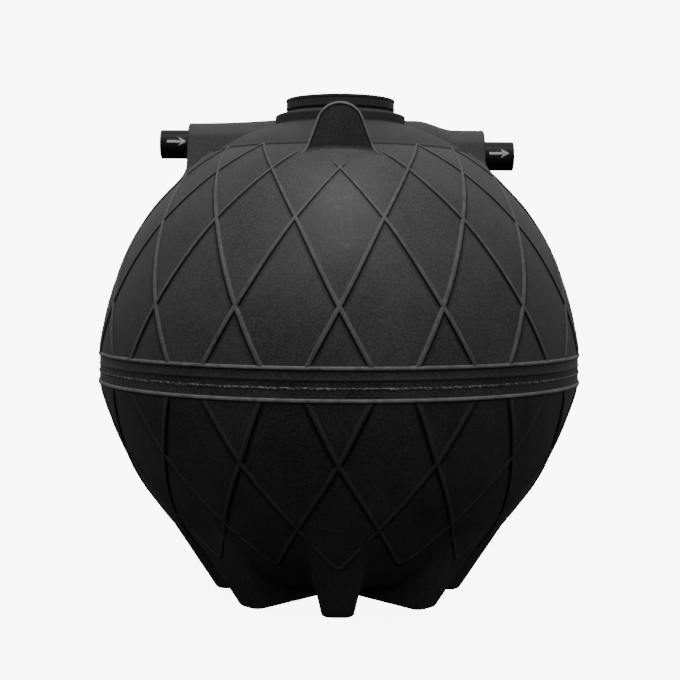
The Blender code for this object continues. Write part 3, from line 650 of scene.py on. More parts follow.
def foot_column(share):
    """Column of points up one line of a foot's face: round the sole's edge, up, out onto the bowl."""
    low, high = 0.0, 0.6
    for _ in range(40):
        middle = (low + high) / 2
        place, out = foot_side(share, middle)
        if middle < bowl_height(place.length):
            low = middle
        else:
            high = middle
    joint = low
    column = []
    for step in range(4):
        turn = pi / 2 * step / 3
        place, out = foot_side(share, FOOT_SOLE_ROUND * (1 - cos(turn)))
        place -= out * FOOT_SOLE_ROUND * (1 - sin(turn))
        column.append(Vector((*place, FOOT_SOLE_ROUND * (1 - cos(turn)))))
    fillet = min(FOOT_FILLET, (joint - FOOT_SOLE_ROUND) * 0.55)
    for step in range(1, 5):
        height = FOOT_SOLE_ROUND + (joint - fillet - FOOT_SOLE_ROUND) * step / 4
        column.append(Vector((*foot_side(share, height)[0], height)))
    place, out = foot_side(share, joint)
    landing = place + out * fillet
    stop = Vector((*landing, bowl_height(landing.length) - 0.0004))
    column += bend(column[-1], Vector((*place, joint)), stop, 6)[1:]
    column.append(Vector((*landing, bowl_height(landing.length) + FOOT_INTO_WALL)))
    return column


def foot_mesh():
    """One foot that points to +X, as a closed solid with its top inside the bowl's wall."""
    solid = bmesh.new()
    shares = [step / 40 for step in range(41)]
    columns = [foot_column(share) for share in shares]
    mirrored = [[Vector((p.x, -p.y, p.z)) for p in column] for column in columns[-2::-1]]
    grid = [[solid.verts.new(point) for point in column] for column in columns + mirrored]
    for first, second in zip(grid, grid[1:]):
        for low in range(len(first) - 1):
            solid.faces.new((first[low], second[low], second[low + 1], first[low + 1]))
    solid.faces.new([column[0] for column in grid])
    last = len(grid) - 1
    rows = []
    for index in range(len(columns)):
        ends = grid[index][-1], grid[last - index][-1]
        row = [ends[0]]
        if ends[0] is not ends[1]:
            for step in range(1, 8):
                place = ends[0].co.lerp(ends[1].co, step / 8)
                place.z = bowl_height(hypot(place.x, place.y)) + FOOT_INTO_WALL
                row.append(solid.verts.new(place))
            row.append(ends[1])
        rows.append(row)
    for first, second in zip(rows, rows[1:]):
        bridge(solid, first, second, around=False)
    solid.faces.new(grid[0] + rows[0][1:-1] + grid[last][::-1])
    return solid


def cover(solid, rings):
    """Faces between rings of points, with a flat cap at each end."""
    for first, second in zip(rings, rings[1:]):
        bridge(solid, first, second)
    solid.faces.new(rings[0])
    solid.faces.new(rings[-1])


def point_bead(solid):
    """Blunt V of the lattice over a foot's end, as a low rounded bead that lies on the foot."""
    bmesh.ops.recalc_face_normals(solid, faces=solid.faces[:])
    surface = BVHTree.FromBMesh(solid)
    # The bead's outer top is paled, partly rubbing and partly painted highlight, and its lower side
    # gets painted shade
    crest = solid.verts.layers.float.new("crest")
    foot = solid.verts.layers.float.new("foot")
    path = []
    for step in range(-POINT_STATIONS, POINT_STATIONS + 1):
        side = POINT_SPREAD * step / POINT_STATIONS
        phase = 0.93
        for _ in range(6):
            phase = 1 - hypot(side, POINT_BLUNTNESS * max(0.0, phase - 0.5))
        distance = lower_rows.at(np.array([phase]))[0]
        radius, level = (float(value) for value in lower_meridian.at(distance))
        outwards = Vector((cos(side * DIAMOND_ANGLE), sin(side * DIAMOND_ANGLE), 0.0))
        upwards = Vector((0.0, 0.0, 1.0))
        place = outwards * radius + upwards * level
        facing = outwards * (radius - LOWER_CENTRE.x) + upwards * (level - LOWER_CENTRE.y)
        facing.normalize()
        hit, hit_facing = surface.ray_cast(outwards * 1.2 + upwards * level, -outwards)[:2]
        if hit and hit.xy.length > radius:
            place = hit
            facing = hit_facing
        path.append((place, facing, min(1.0, (POINT_STATIONS - abs(step)) / 4)))
    rings = []
    for index, (place, facing, share) in enumerate(path):
        ahead = path[min(index + 1, len(path) - 1)][0] - path[max(index - 1, 0)][0]
        across = ahead.cross(facing).normalized()
        if across.z > 0:
            across = -across
        ring = []
        for step in range(12):
            turn = tau * step / 12
            vert = solid.verts.new(place + across * POINT_HALF_WIDTH * cos(turn)
                                   + facing * POINT_HEIGHT * share * sin(turn))
            vert[crest] = 1.0 if sin(turn) > 0.4 and cos(turn) < 0.6 else 0.0
            vert[foot] = 1.0 if cos(turn) > 0.8 else 0.0
            ring.append(vert)
        rings.append(ring)
    cover(solid, rings)


def ring_of_feet_tree():
    """Repeats one foot at equal angles round the middle of the tank."""
    tree, given, last = geometry_tree("ring_of_feet", "Feet", kind="Int")
    points = add_node(tree, "GeometryNodePoints", {"Count": given["Feet"]}).outputs[0]
    number = add_node(tree, "GeometryNodeInputIndex").outputs[0]
    angle = product(tree, calculate(tree, "DIVIDE", number, given["Feet"]), tau)
    turn = add_node(tree, "ShaderNodeCombineXYZ", {"Z": angle}).outputs[0]
    rotation = add_node(tree, "FunctionNodeEulerToRotation", {0: turn}).outputs[0]
    copies = add_node(tree, "GeometryNodeInstanceOnPoints", {
        "Points": points, "Instance": given["Mesh"], "Rotation": rotation})
    return finish_tree(tree, given, last, copies.outputs[0])


one_foot = foot_mesh()
point_bead(one_foot)
feet = add_piece("feet", outward_mesh("feet", one_foot))
run_tree(feet, ring_of_feet_tree(), feet=8, material=lightened_bowl_plastic)
settle(feet)
claim(feet, *["foot_" + where for where in SECTORS])

# Upper half of the shell. The real one is a dome of the same plastic, moulded in one with its lattice.
# Its rim is welded to the lower half at the belt, and its ribs run up to the ring line of the crown.
UPPER_CENTRE = Vector((-0.1359, 0.8488))
UPPER_RADIUS = 1.0688
CROWN_CENTRE = Vector((0.051748, 1.034206))
CROWN_RADIUS = 0.805006
SHOULDER_ANGLE = asin((1.600 - UPPER_CENTRE.y) / UPPER_RADIUS)
SHOULDER_RADIUS = UPPER_CENTRE.x + UPPER_RADIUS * cos(SHOULDER_ANGLE)
UPPER_RIM = 0.9350
RING_RADIUS = 0.5000

upper_foot = asin((UPPER_RIM - UPPER_CENTRE.y) / UPPER_RADIUS)
ring_angle = acos((RING_RADIUS - 0.003 - CROWN_CENTRE.x) / CROWN_RADIUS)
upper_meridian = Meridian(
    arc(UPPER_CENTRE, UPPER_RADIUS, upper_foot, SHOULDER_ANGLE)
    + arc(CROWN_CENTRE, CROWN_RADIUS, SHOULDER_ANGLE, ring_angle)[1:])
upper_rows = Rows(((-0.284, 0.0), (0.0, 0.1948), (0.5, 0.5211), (1.0, 0.7505),
                   (1.5, upper_meridian.length)))


# Where the ears stand: half width, middle and half depth of the oval in which the ribs fade out, and
# the radius beyond which they don't
EAR_OVAL = (0.165, 0.50, 0.10)
EAR_OVAL_END = 0.66


def upper_rib_size(distance, phase, x, radius):
    """Ribs sink a little into the belt, grow lower towards the top and fade out at the ears."""
    from_belt = np.clip(0.62 + 0.38 * distance / RIB_RUNOUT, 0, 1)
    half_width, middle, half_depth = EAR_OVAL
    from_ear = np.sqrt((x / half_width) ** 2 + ((radius - middle) / half_depth) ** 2)
    fade = np.where(radius < EAR_OVAL_END, np.clip((from_ear - 0.95) / 0.25, 0, 1), 1.0)
    return from_belt * np.interp(phase, (0.0, 1.5), (1.0, 0.72)) * fade


# The dome's rib crests are paled, partly rubbing and partly painted highlight, and their lower feet get
# painted shade
dome_plastic = moulded_plastic("ribbed_dome", (0.011, 0.011, 0.0115), (0.039, 0.039, 0.040),
                               roughness=0.55, dust=0.10, specular=0.12, pale_crest=(0.062, 0.062, 0.061))


def front_sheen_and_scuffs(material, pale):
    """Painted soft highlight as a faint pale sheen, and thin upright scuffs, on the front of the dome,
    below the ear.
    """
    tree = material.node_tree
    base = tree.nodes["Principled BSDF"].inputs["Base Color"]
    place = add_node(tree, "ShaderNodeTexCoord").outputs["Object"]
    x, y, z = add_node(tree, "ShaderNodeSeparateXYZ", {0: place}).outputs
    side = calculate(tree, "ABSOLUTE", calculate(tree, "SUBTRACT", x, 0.01))
    # Painted soft highlight down the middle of the dome's front
    painted_sheen = product(tree, spread(tree, side, 0.02, 0.24, 1.0, 0.0), spread(tree, z, 1.18, 1.55), 0.14)
    stretched = add_node(tree, "ShaderNodeMapping", {"Vector": place, "Scale": (75.0, 75.0, 5.0)})
    streak = product(
        tree, spread(tree, noise(tree, stretched.outputs[0], 1.0, 4.0, 0.6), 0.56, 0.72),
        spread(tree, side, 0.02, 0.07, 1.0, 0.0),
        spread(tree, z, 1.26, 1.36), spread(tree, z, 1.50, 1.60, 1.0, 0.0))
    front = spread(tree, y, -0.70, -0.45, 1.0, 0.0)
    mask = product(tree, calculate(tree, "MULTIPLY_ADD", streak, 0.55, painted_sheen), front, clamp=True)
    tree.links.new(mix_colour(tree, mask, base.links[0].from_socket, pale), base)


front_sheen_and_scuffs(dome_plastic, (0.095, 0.094, 0.090))
upper_half = add_piece("upper_half", lattice_wall(
    "upper_half", upper_meridian, upper_rows, -1, upper_rib_size))
finish_half(upper_half, dome_plastic, rib_height=0.0062)
claim(upper_half, *["upper_shell_" + where for where in SECTORS])

# Crown. The shallow cap of the upper moulding, from the manhole out to a thin raised ring line where
# the ribs end.
MANHOLE_RADIUS = 0.1800
RING_HALF_WIDTH = 0.0065
RING_HEIGHT = 0.0036


def dome_height(distance):
    """Height of the outside of the upper half at a distance from the axis."""
    centre, radius = CROWN_CENTRE, CROWN_RADIUS
    if distance > SHOULDER_RADIUS:
        centre, radius = UPPER_CENTRE, UPPER_RADIUS
    return centre.y + sqrt(radius ** 2 - (distance - centre.x) ** 2)


def crown_angle(distance):
    """Angle on the crown's arc at a distance from the axis."""
    return acos((distance - CROWN_CENTRE.x) / CROWN_RADIUS)


crown_outline = arc(CROWN_CENTRE, CROWN_RADIUS, crown_angle(MANHOLE_RADIUS),
                    crown_angle(RING_RADIUS - RING_HALF_WIDTH), 0.012)
for step in range(1, 13):
    offset = RING_HALF_WIDTH * (step / 6 - 1)
    lift = RING_HEIGHT * (1 - (offset / RING_HALF_WIDTH) ** 2) ** 1.3 - (0.0008 if step == 12 else 0.0)
    angle = crown_angle(RING_RADIUS + offset)
    crown_outline.append(CROWN_CENTRE + (CROWN_RADIUS + lift) * Vector((cos(angle), sin(angle))))
crown_outline += arc(CROWN_CENTRE, CROWN_RADIUS - WALL, crown_angle(RING_RADIUS - 0.004),
                     crown_angle(MANHOLE_RADIUS), 0.02)
# The crown and the neck get a darker copy of the dome's plastic, which holds back the strong light from
# above on their up-facing surfaces: painted shade
crown_plastic = moulded_plastic("crown_plastic", (0.007, 0.007, 0.0075), (0.024, 0.024, 0.025),
                                roughness=0.58, dust=0.06, specular=0.10)
crown = add_piece("crown", turned_mesh("crown", crown_outline))
dress(crown, crown_plastic, *["crown_" + where for where in SECTORS])

# Belt. The rims of the two halves are thick bands that meet face to face. A rounded bead runs along
# the outer edge of each, and the seam between them is a rough bead of hot-plate weld.
BELT_RADIUS = 0.9335
BELT_FACE = 0.9283
BELT_INSIDE = 0.9180
BELT_BOTTOM = 0.8145
BELT_SEAM = 0.8627
BELT_TOP = 0.9360
BEAD_HEIGHT = 0.016
BELT_LINE = 0.8900
UPPER_BEAD = BELT_TOP - BEAD_HEIGHT / 2
LOWER_BEAD = BELT_BOTTOM + BEAD_HEIGHT / 2


def bead_points(middle):
    """Rounded bead that stands out from the belt's face, from its top to its bottom."""
    points = []
    for step in range(13):
        turn = pi * step / 12
        stand = (BELT_RADIUS - BELT_FACE) * sin(turn) ** 0.8
        points.append(Vector((BELT_FACE + stand, middle + BEAD_HEIGHT / 2 * cos(turn))))
    return points


# The bands' beads get a painted highlight on their upper faces, made uneven like rubbing, and painted
# shadow under them
band_plastic = moulded_plastic("scuffed_rim", (0.001, 0.001, 0.0011), (0.036, 0.036, 0.036),
                               roughness=0.50, dust=0.10, specular=0.15, grain_size=330.0,
                               bump=1.0, stretch=(1.0, 1.0, 2.0), pinholes=0.2,
                               pale_crest=(0.100, 0.100, 0.099))
upper_band = [Vector((BELT_INSIDE, BELT_SEAM)), Vector((BELT_INSIDE, BELT_TOP))]
upper_band += bead_points(UPPER_BEAD)
for offset, lift in ((0.0040, 0.0), (0.0026, 0.0006), (0.0012, 0.0013), (-0.0016, 0.0013),
                     (-0.0026, 0.0005), (-0.0040, 0.0)):
    upper_band.append(Vector((BELT_FACE + lift, BELT_LINE + offset)))
upper_band.append(Vector((BELT_FACE, BELT_SEAM)))
lower_band = [Vector((BELT_INSIDE, BELT_BOTTOM)), Vector((BELT_INSIDE, BELT_SEAM)),
              Vector((BELT_FACE, BELT_SEAM))]
lower_band += bead_points(LOWER_BEAD)


def mark_wear_and_painted_light(mesh, wear):
    """Store the pale crests, partly rubbing and partly painted highlight, and the painted shade at the
    feet of raised lines, from each point's place.
    """
    places = np.array([tuple(vert.co) for vert in mesh.vertices])
    for name, values in zip(("crest", "foot"), wear(*places.T)):
        stored = mesh.attributes.new(name, "FLOAT", "POINT")
        stored.data.foreach_set("value", np.asarray(values, dtype=np.float32))


def bead_wear_and_painted_light(middle, line_highlight=0.0):
    """Pale marks and painted shade of a band whose bead lies round a level: the upper face of the bead
    gets a painted highlight, made uneven like rubbing, and so may the raised line below it; a painted
    shadow lies under the bead."""
    def wear(x, y, z):
        """Pale crest, a painted highlight made uneven like rubbing, and painted shadow at the foot, at
        each place.
        """
        outside = np.hypot(x, y) > BELT_FACE + 0.0004
        crest = outside * np.interp(z, (middle - 0.006, middle - 0.002, middle + 0.008), (0, 1, 1))
        crest = np.maximum(crest, outside * (abs(z - BELT_LINE) < 0.002) * line_highlight)
        foot = outside * np.interp(z, (middle - 0.009, middle - 0.006, middle - 0.002), (1, 1, 0))
        return crest, foot
    return wear


# Each bead gets a painted highlight on its upper face and a painted shadow under it; the upper band's
# raised line gets a painted highlight too
for half, outline, wear in (("upper", upper_band, bead_wear_and_painted_light(UPPER_BEAD, line_highlight=0.90)),
                            ("lower", lower_band, bead_wear_and_painted_light(LOWER_BEAD))):
    ring = turned_mesh(half + "_band", outline)
    mark_wear_and_painted_light(ring, wear)
    dress(add_piece(half + "_band", ring), band_plastic, half + "_rim_band")


def weld_tree():
    """Sweeps a small bead round a circle and roughens it as a hand-finished weld."""
    tree, given, last = geometry_tree(
        "rough_weld", "Seam Radius", "Bead Width", "Bead Depth", "Level", "Roughness", "Seed")
    path = add_node(tree, "GeometryNodeCurvePrimitiveCircle", {
        "Resolution": 1440, "Radius": given["Seam Radius"]}).outputs[0]
    section = add_node(tree, "GeometryNodeCurvePrimitiveCircle", {
        "Resolution": 10, "Radius": 1.0}).outputs[0]
    squeeze = add_node(tree, "ShaderNodeCombineXYZ", {
        "X": given["Bead Depth"], "Y": given["Bead Width"], "Z": 1.0}).outputs[0]
    flat = add_node(tree, "GeometryNodeTransform", {"Geometry": section, "Scale": squeeze}).outputs[0]
    swept = add_node(tree, "GeometryNodeCurveToMesh", {"Curve": path, "Profile Curve": flat})
    place = add_node(tree, "GeometryNodeInputPosition").outputs[0]
    grain = add_node(tree, "ShaderNodeTexNoise", noise_dimensions="4D", inputs={
        "Vector": place, "W": given["Seed"], "Scale": 135.0, "Detail": 2.0})
    uneven = calculate(tree, "SUBTRACT", grain.outputs["Fac"], 0.5)
    rough = push_out(tree, swept.outputs[0], product(tree, uneven, given["Roughness"]))
    pale_crest = calculate(tree, "MULTIPLY_ADD", uneven, 8.0, 0.1, clamp=True)
    worn = add_node(tree, "GeometryNodeStoreNamedAttribute", data_type="FLOAT", domain="POINT", inputs={
        "Geometry": rough, "Name": "crest", "Value": pale_crest}).outputs[0]
    rise = add_node(tree, "ShaderNodeCombineXYZ", {"Z": given["Level"]}).outputs[0]
    raised = add_node(tree, "GeometryNodeTransform", {"Geometry": worn, "Translation": rise})
    return finish_tree(tree, given, last, raised.outputs[0])


weld_plastic = moulded_plastic("rough_weld", (0.002, 0.002, 0.0022), (0.030, 0.030, 0.030),
                               roughness=0.55, dust=0.05, specular=0.15, bump=1.0,
                               pale_crest=(0.16, 0.16, 0.158))
weld = add_piece("weld_seam", bpy.data.meshes.new("weld_seam"))
run_tree(weld, weld_tree(), seam_radius=BELT_FACE, bead_width=0.0042, bead_depth=0.0020,
         level=BELT_SEAM, roughness=0.0080, seed=3.0, material=weld_plastic)
settle(weld)
weld.data.shade_smooth()
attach(weld, "tank")

# Housings over the pipe stubs. Each is a hollow arched ridge of the upper moulding, which runs from the
# neck out to a flat end face and flares into the dome at its foot. The stub is fitted through the face.
COLLAR_RADIUS = 0.2555
RIDGE_START = 0.2100
RIDGE_TOP_AT_COLLAR = 1.8380
HOUSING_SPLAY = radians(14)
HOLLOW_START = 0.3300
EDGE_ROUND = 0.006
CAP_MIDDLE = 0.085
FLARE_RADIUS = 0.0600
FLARE_END = radians(65)
BURIED = 1.45
DOME_SOLID_BASE = 1.2
PIPE_RADIUS = 0.0570
PIPE_BORE = 0.0520
PIPE_INSIDE = 0.0240
HOLE_REACH = 0.060
SLOT_LENGTH = 0.150
SLOT_HALF_WIDTH = 0.045
SLOT_BOTTOM = 1.40
SLOT_TOP = 1.90
TRIM_DEPTH = 0.003
OVERLAP = 0.0006


def bell(top, cap_radius, splay, flare_foot, shrink=0.0):
    """Arched section: a round cap, splayed flanks and, where it stands on the dome, flared feet."""
    cap = cap_radius - shrink
    centre = top - cap_radius
    half = []
    for step in range(25):
        angle = pi / 2 - (pi / 2 - splay) * step / 24
        half.append(Vector((cap * cos(angle), centre + cap * sin(angle))))
    start = half[-1]
    if flare_foot is None:
        half.append(Vector((start.x + (start.y - BURIED) * tan(splay), BURIED)))
    else:
        flare_top = flare_foot + FLARE_RADIUS * (sin(FLARE_END) - sin(splay))
        corner = Vector((start.x + (start.y - flare_top) * tan(splay), flare_top))
        hollow = corner + Vector((cos(splay), sin(splay))) * FLARE_RADIUS
        for step in range(13):
            angle = splay + (FLARE_END - splay) * step / 12
            half.append(hollow - Vector((cos(angle), sin(angle))) * FLARE_RADIUS)
        half.append(Vector((half[-1].x + 0.004, BURIED)))
    return half + [Vector((-point.x, point.y)) for point in reversed(half[1:])]


def inset(outline, distance):
    """Arched outline drawn in by a distance: towards the middle of its cap, and below that sideways."""
    middle = outline[0].y - CAP_MIDDLE
    moved = []
    for point in outline:
        inwards = Vector((-point.x, min(0.0, middle - point.y))).normalized()
        moved.append(point + inwards * distance)
    return moved


def loft(rows, name, sharp=SHARP_ANGLE):
    """Closed solid through rows of points, with a flat cap at each end."""
    solid = bmesh.new()
    cover(solid, [[solid.verts.new(point) for point in row] for row in rows])
    return outward_mesh(name, solid, sharp)


def rounding(distance, steps=4):
    """Offsets along and into a solid for each row that rounds its edge."""
    turns = [pi / 2 * step / steps for step in range(1, steps + 1)]
    return [(distance * (1 - sin(turn)), distance * (1 - cos(turn))) for turn in turns]


def ridge_rows(outline, start, end, end_top, stepped, rounded=False):
    """Rows of a ridge along +X, which rises towards the collar, in a step or in a growing slope. Its
    end face may be rounded."""
    stations = [(start + (end - EDGE_ROUND - start) * step / 24, 0.0) for step in range(25)]
    if rounded:
        stations += [(end - back, deep) for back, deep in rounding(EDGE_ROUND)]
    else:
        stations.append((end, 0.0))
    rise = RIDGE_TOP_AT_COLLAR - end_top
    rows = []
    for x, deep in stations:
        share = (end - x) / (end - COLLAR_RADIUS)
        step = min(1.0, max(0.0, (share - 0.36) / 0.52))
        lift = rise * (step ** 2 * (3 - 2 * step) if stepped else share ** 2)
        rows.append([Vector((x, point.x, point.y + lift)) for point in inset(outline, deep)])
    return rows


def carve(piece, mesh):
    """Cut a mesh from a piece, and keep the result as its own mesh."""
    tool = add_piece("tool", mesh)
    cutter = piece.modifiers.new("cut", "BOOLEAN")
    cutter.operation = "DIFFERENCE"
    cutter.solver = "EXACT"
    cutter.object = tool
    settle(piece)
    bpy.data.objects.remove(tool)


def round_bar(radius, start, end, level, facets=96):
    """Solid bar along X, used to cut."""
    turns = [tau * step / facets for step in range(facets)]
    return loft([[Vector((x, radius * cos(turn), level + radius * sin(turn)))
                  for turn in turns] for x in (start, end)], "bar")


def block(low, high):
    """Plain box between two corners, used to cut."""
    solid = bmesh.new()
    place = Matrix.Translation((Vector(low) + Vector(high)) / 2)
    size = Matrix.Diagonal((*(Vector(high) - Vector(low)), 1.0))
    bmesh.ops.create_cube(solid, size=1.0, matrix=place @ size)
    return outward_mesh("block", solid)


def dome_solid():
    """Solid dome a little below the outside of the upper half, which trims what stands on it."""
    base = asin((DOME_SOLID_BASE - UPPER_CENTRE.y) / UPPER_RADIUS)
    flank = arc(UPPER_CENTRE, UPPER_RADIUS - TRIM_DEPTH, base, SHOULDER_ANGLE, 0.02)
    cap = arc(CROWN_CENTRE, CROWN_RADIUS - TRIM_DEPTH, SHOULDER_ANGLE, crown_angle(0.17), 0.02)
    outline = [Vector((0.0, DOME_SOLID_BASE))] + flank + cap[1:] + [Vector((0.0, cap[-1].y))]
    return turned_mesh("dome", outline, closed=False)


def end_skirt(name, face, outline, reach, share):
    """Fillet at the foot of a flat end face, from the face down onto the dome."""
    half = [point for point in outline if point.x >= 0]
    widths = np.array([point.x for point in half[:-1]])
    tops = np.array([point.y for point in half[:-1]])
    limit = widths[-1] - 0.002
    rows = []
    for step in range(33):
        side = limit * (step / 16 - 1)
        top = float(np.interp(abs(side), widths, tops))
        ground = dome_height(hypot(face, side))
        size = max(0.0012, min(reach, share * (top - ground)))
        start = Vector((face - OVERLAP, side, ground + size))
        corner = Vector((face - OVERLAP, side, ground))
        stop = Vector((face + size, side, dome_height(hypot(face + size, side)) - OVERLAP))
        behind = face - 0.003
        rows.append(bend(start, corner, stop, 6) + [
            Vector((stop.x, side, stop.z - 0.003)),
            Vector((behind, side, dome_height(hypot(behind, side)) - 0.004)),
            Vector((behind, side, start.z))])
    return loft(rows, name, radians(60))


def turn_piece(piece, matrix):
    """Turn a piece's mesh round the axis to its place, and keep only its real edges sharp."""
    piece.data.transform(matrix)
    piece.data.shade_smooth()
    piece.data.set_sharp_from_angle(angle=SHARP_ANGLE)


# Name, side, height of the pipe's axis, face of the housing, end of the pipe, tail of the arrow, top of
# the face, radius of its cap, and whether the ridge rises in a step
ports = (
    ("inlet", -1, 1.7400, 0.5940, 0.7050, -0.6770, 1.8240, 0.0840, False),
    ("outlet", 1, 1.6995, 0.5643, 0.6810, 0.5830, 1.8005, 0.0870, True),
)
for port, side, level, face, _, _, top, cap_radius, stepped in ports:
    flare_foot = dome_height(hypot(face, cap_radius + FLARE_RADIUS))
    outline = bell(top, cap_radius, HOUSING_SPLAY, flare_foot)
    ridge = add_piece(port + "_ridge", loft(
        ridge_rows(outline, RIDGE_START, face, top, stepped, rounded=True), port + "_ridge"))
    inside = bell(top, cap_radius, HOUSING_SPLAY, None, WALL)
    carve(ridge, loft(ridge_rows(inside, HOLLOW_START, face - WALL, top, stepped), "hollow"))
    carve(ridge, round_bar(PIPE_RADIUS - OVERLAP, face - HOLE_REACH, face + HOLE_REACH, level))
    carve(ridge, dome_solid())
    skirt = add_piece(port + "_skirt", end_skirt(
        port + "_skirt", face, outline, reach=0.040, share=0.55))
    pipe_start = face - WALL - PIPE_INSIDE
    slot = block((pipe_start - SLOT_LENGTH, -SLOT_HALF_WIDTH, SLOT_BOTTOM),
                 (pipe_start, SLOT_HALF_WIDTH, SLOT_TOP))
    flip = Matrix.Rotation(pi if side < 0 else 0.0, 4, "Z")
    slot.transform(flip)
    for shell_piece in (upper_half, crown):
        carve(shell_piece, slot.copy())
    turn_piece(ridge, flip)
    turn_piece(skirt, flip)
    dress(ridge, shell_plastic, port + "_housing")
    dress(skirt, shell_plastic)

# Pipe stubs. Short lengths of smooth black 110 mm class drain pipe with square, slightly chamfered
# ends, pushed through the end faces of the housings. A pale arrow on each shows the flow.
PIPE_CHAMFER = 0.0020
pipe_plastic = moulded_plastic("smooth_pipe", (0.0032, 0.0032, 0.0034), (0.0090, 0.0090, 0.0093),
                               roughness=0.42, dust=0.01, specular=0.10, grain_size=500.0,
                               bump=0.15, pinholes=0.0)


def printed_ink():
    """Pale printed mark, thin enough for the pipe's grain to show, a little worn."""
    material, tree, shader, place = new_material("printed_mark")
    worn = spread(tree, noise(tree, place, 240.0, 4.0, 0.7), 0.38, 0.56)
    colour = mix_colour(tree, worn, (0.05, 0.05, 0.05), (0.34, 0.34, 0.335))
    cover_surface(tree, shader, colour, spread(tree, worn, 0.0, 1.0, 0.40, 0.55),
                  noise(tree, place, 500.0, 2.0), 0.2, 0.0003)
    return material


def flow_arrow(name, tail, level):
    """Arrow along +X that wraps round the front of a pipe."""
    outline = ((0.0, -0.0052), (0.052, -0.0052), (0.044, -0.0185), (0.078, 0.0), (0.044, 0.0185),
               (0.052, 0.0052), (0.0, 0.0052))
    solid = bmesh.new()
    solid.faces.new([solid.verts.new((x, y, 0.0)) for x, y in outline])
    for step in range(-4, 5):
        cut_plane(solid, (0, step * 0.004, 0), (0, 1, 0), 1e-6)
    made = bmesh.ops.extrude_face_region(solid, geom=solid.faces[:])
    for item in made["geom"]:
        if isinstance(item, bmesh.types.BMVert):
            item.co.z = 1.0
    for vert in solid.verts:
        turn = (vert.co.y + 0.007) / PIPE_RADIUS
        radius = PIPE_RADIUS + (0.0004 if vert.co.z > 0.5 else -0.0010)
        vert.co = (tail + vert.co.x, -radius * cos(turn), level + radius * sin(turn))
    bmesh.ops.remove_doubles(solid, verts=solid.verts[:], dist=1e-7)
    return outward_mesh(name, solid)


ink = printed_ink()
for port, side, level, face, end, *_ in ports:
    start = face - WALL - PIPE_INSIDE
    corners = ((PIPE_BORE, start, 0.0), (PIPE_BORE, end, 0.0012), (PIPE_RADIUS, end, PIPE_CHAMFER),
               (PIPE_RADIUS, start, 0.0))
    mesh = turned_mesh(port + "_stub", soften(corners), 128)
    mesh.transform(Matrix.Translation((0, 0, level)) @ Matrix.Rotation(side * pi / 2, 4, "Y"))
    dress(add_piece(port + "_stub", mesh), pipe_plastic, port + "_pipe", slot="pipe")
for port, _, level, _, _, tail, *_ in ports:
    dress(add_piece(port + "_arrow", flow_arrow(port + "_arrow", tail, level)), ink, slot="pipe")

# Lifting ears. Two upright bell-shaped lugs at the front and the back of the crown, moulded in one with
# it. The face is flat with a rounded rim, and the back slopes down to the crown.
EAR_TOP = 1.8435
EAR_CAP_RADIUS = 0.0870
EAR_SPLAY = radians(20)
EAR_FACE = 0.5450
EAR_THICKNESS = 0.1450
EAR_BACK_SLOPE = 0.70
EAR_RIM_ROUND = 0.0075
EAR_MIDDLE = 1.680


def ear_mesh(name):
    """Ear whose face looks to +X, a little sunk inside its rounded rim."""
    flare_foot = dome_height(hypot(EAR_FACE, EAR_CAP_RADIUS + FLARE_RADIUS))
    outline = bell(EAR_TOP, EAR_CAP_RADIUS, EAR_SPLAY, flare_foot)
    root = EAR_FACE - EAR_THICKNESS

    def back(height):
        """Where the sloping back is at a height."""
        return root + EAR_BACK_SLOPE * (height - dome_height(root))

    rows = []
    for share, sunk in ((0.88, 0.0014), (0.93, 0.0018), (0.965, 0.0018), (0.985, 0.0)):
        rows.append([Vector((EAR_FACE - sunk, p.x * share, EAR_MIDDLE + (p.y - EAR_MIDDLE) * share))
                     for p in inset(outline, EAR_RIM_ROUND)])
    edge = [(EAR_RIM_ROUND, 0.0)] + rounding(EAR_RIM_ROUND, 5)
    for ahead, deep in reversed(edge):
        rows.append([Vector((EAR_FACE - ahead, p.x, p.y)) for p in inset(outline, deep)])
    for behind, deep in edge:
        rows.append([Vector((back(p.y) + behind, p.x, p.y)) for p in inset(outline, deep)])
    return loft(rows, name), outline


def rim_wear_and_painted_light(outline):
    """Painted light of an ear: its rounded rim gets a painted highlight, made uneven like rubbing, and
    a thin line just inside it gets painted shade.
    """
    ends = np.array([tuple(point) for point in outline])

    def wear(x, y, z):
        """Painted highlight on the rim, made uneven like rubbing, and painted shade just inside it, at
        each place.
        """
        start, along = ends[:-1], np.diff(ends, axis=0)
        share = (y[:, None] - start[:, 0]) * along[:, 0] + (z[:, None] - start[:, 1]) * along[:, 1]
        share = np.clip(share / (along ** 2).sum(axis=1), 0, 1)
        gap_y = y[:, None] - start[:, 0] - share * along[:, 0]
        gap_z = z[:, None] - start[:, 1] - share * along[:, 1]
        deep = np.hypot(gap_y, gap_z).min(axis=1)
        # Painted highlight on the rounded rim and painted shade in a thin line just inside it
        front = x > EAR_FACE - 0.0065
        crest = front * np.interp(deep, (0.0070, 0.0090), (1, 0))
        foot = (x > EAR_FACE - 0.0025) * np.interp(deep, (0.0078, 0.0090, 0.0115, 0.0135),
                                                   (0, 1, 0.7, 0))
        return crest, foot
    return wear


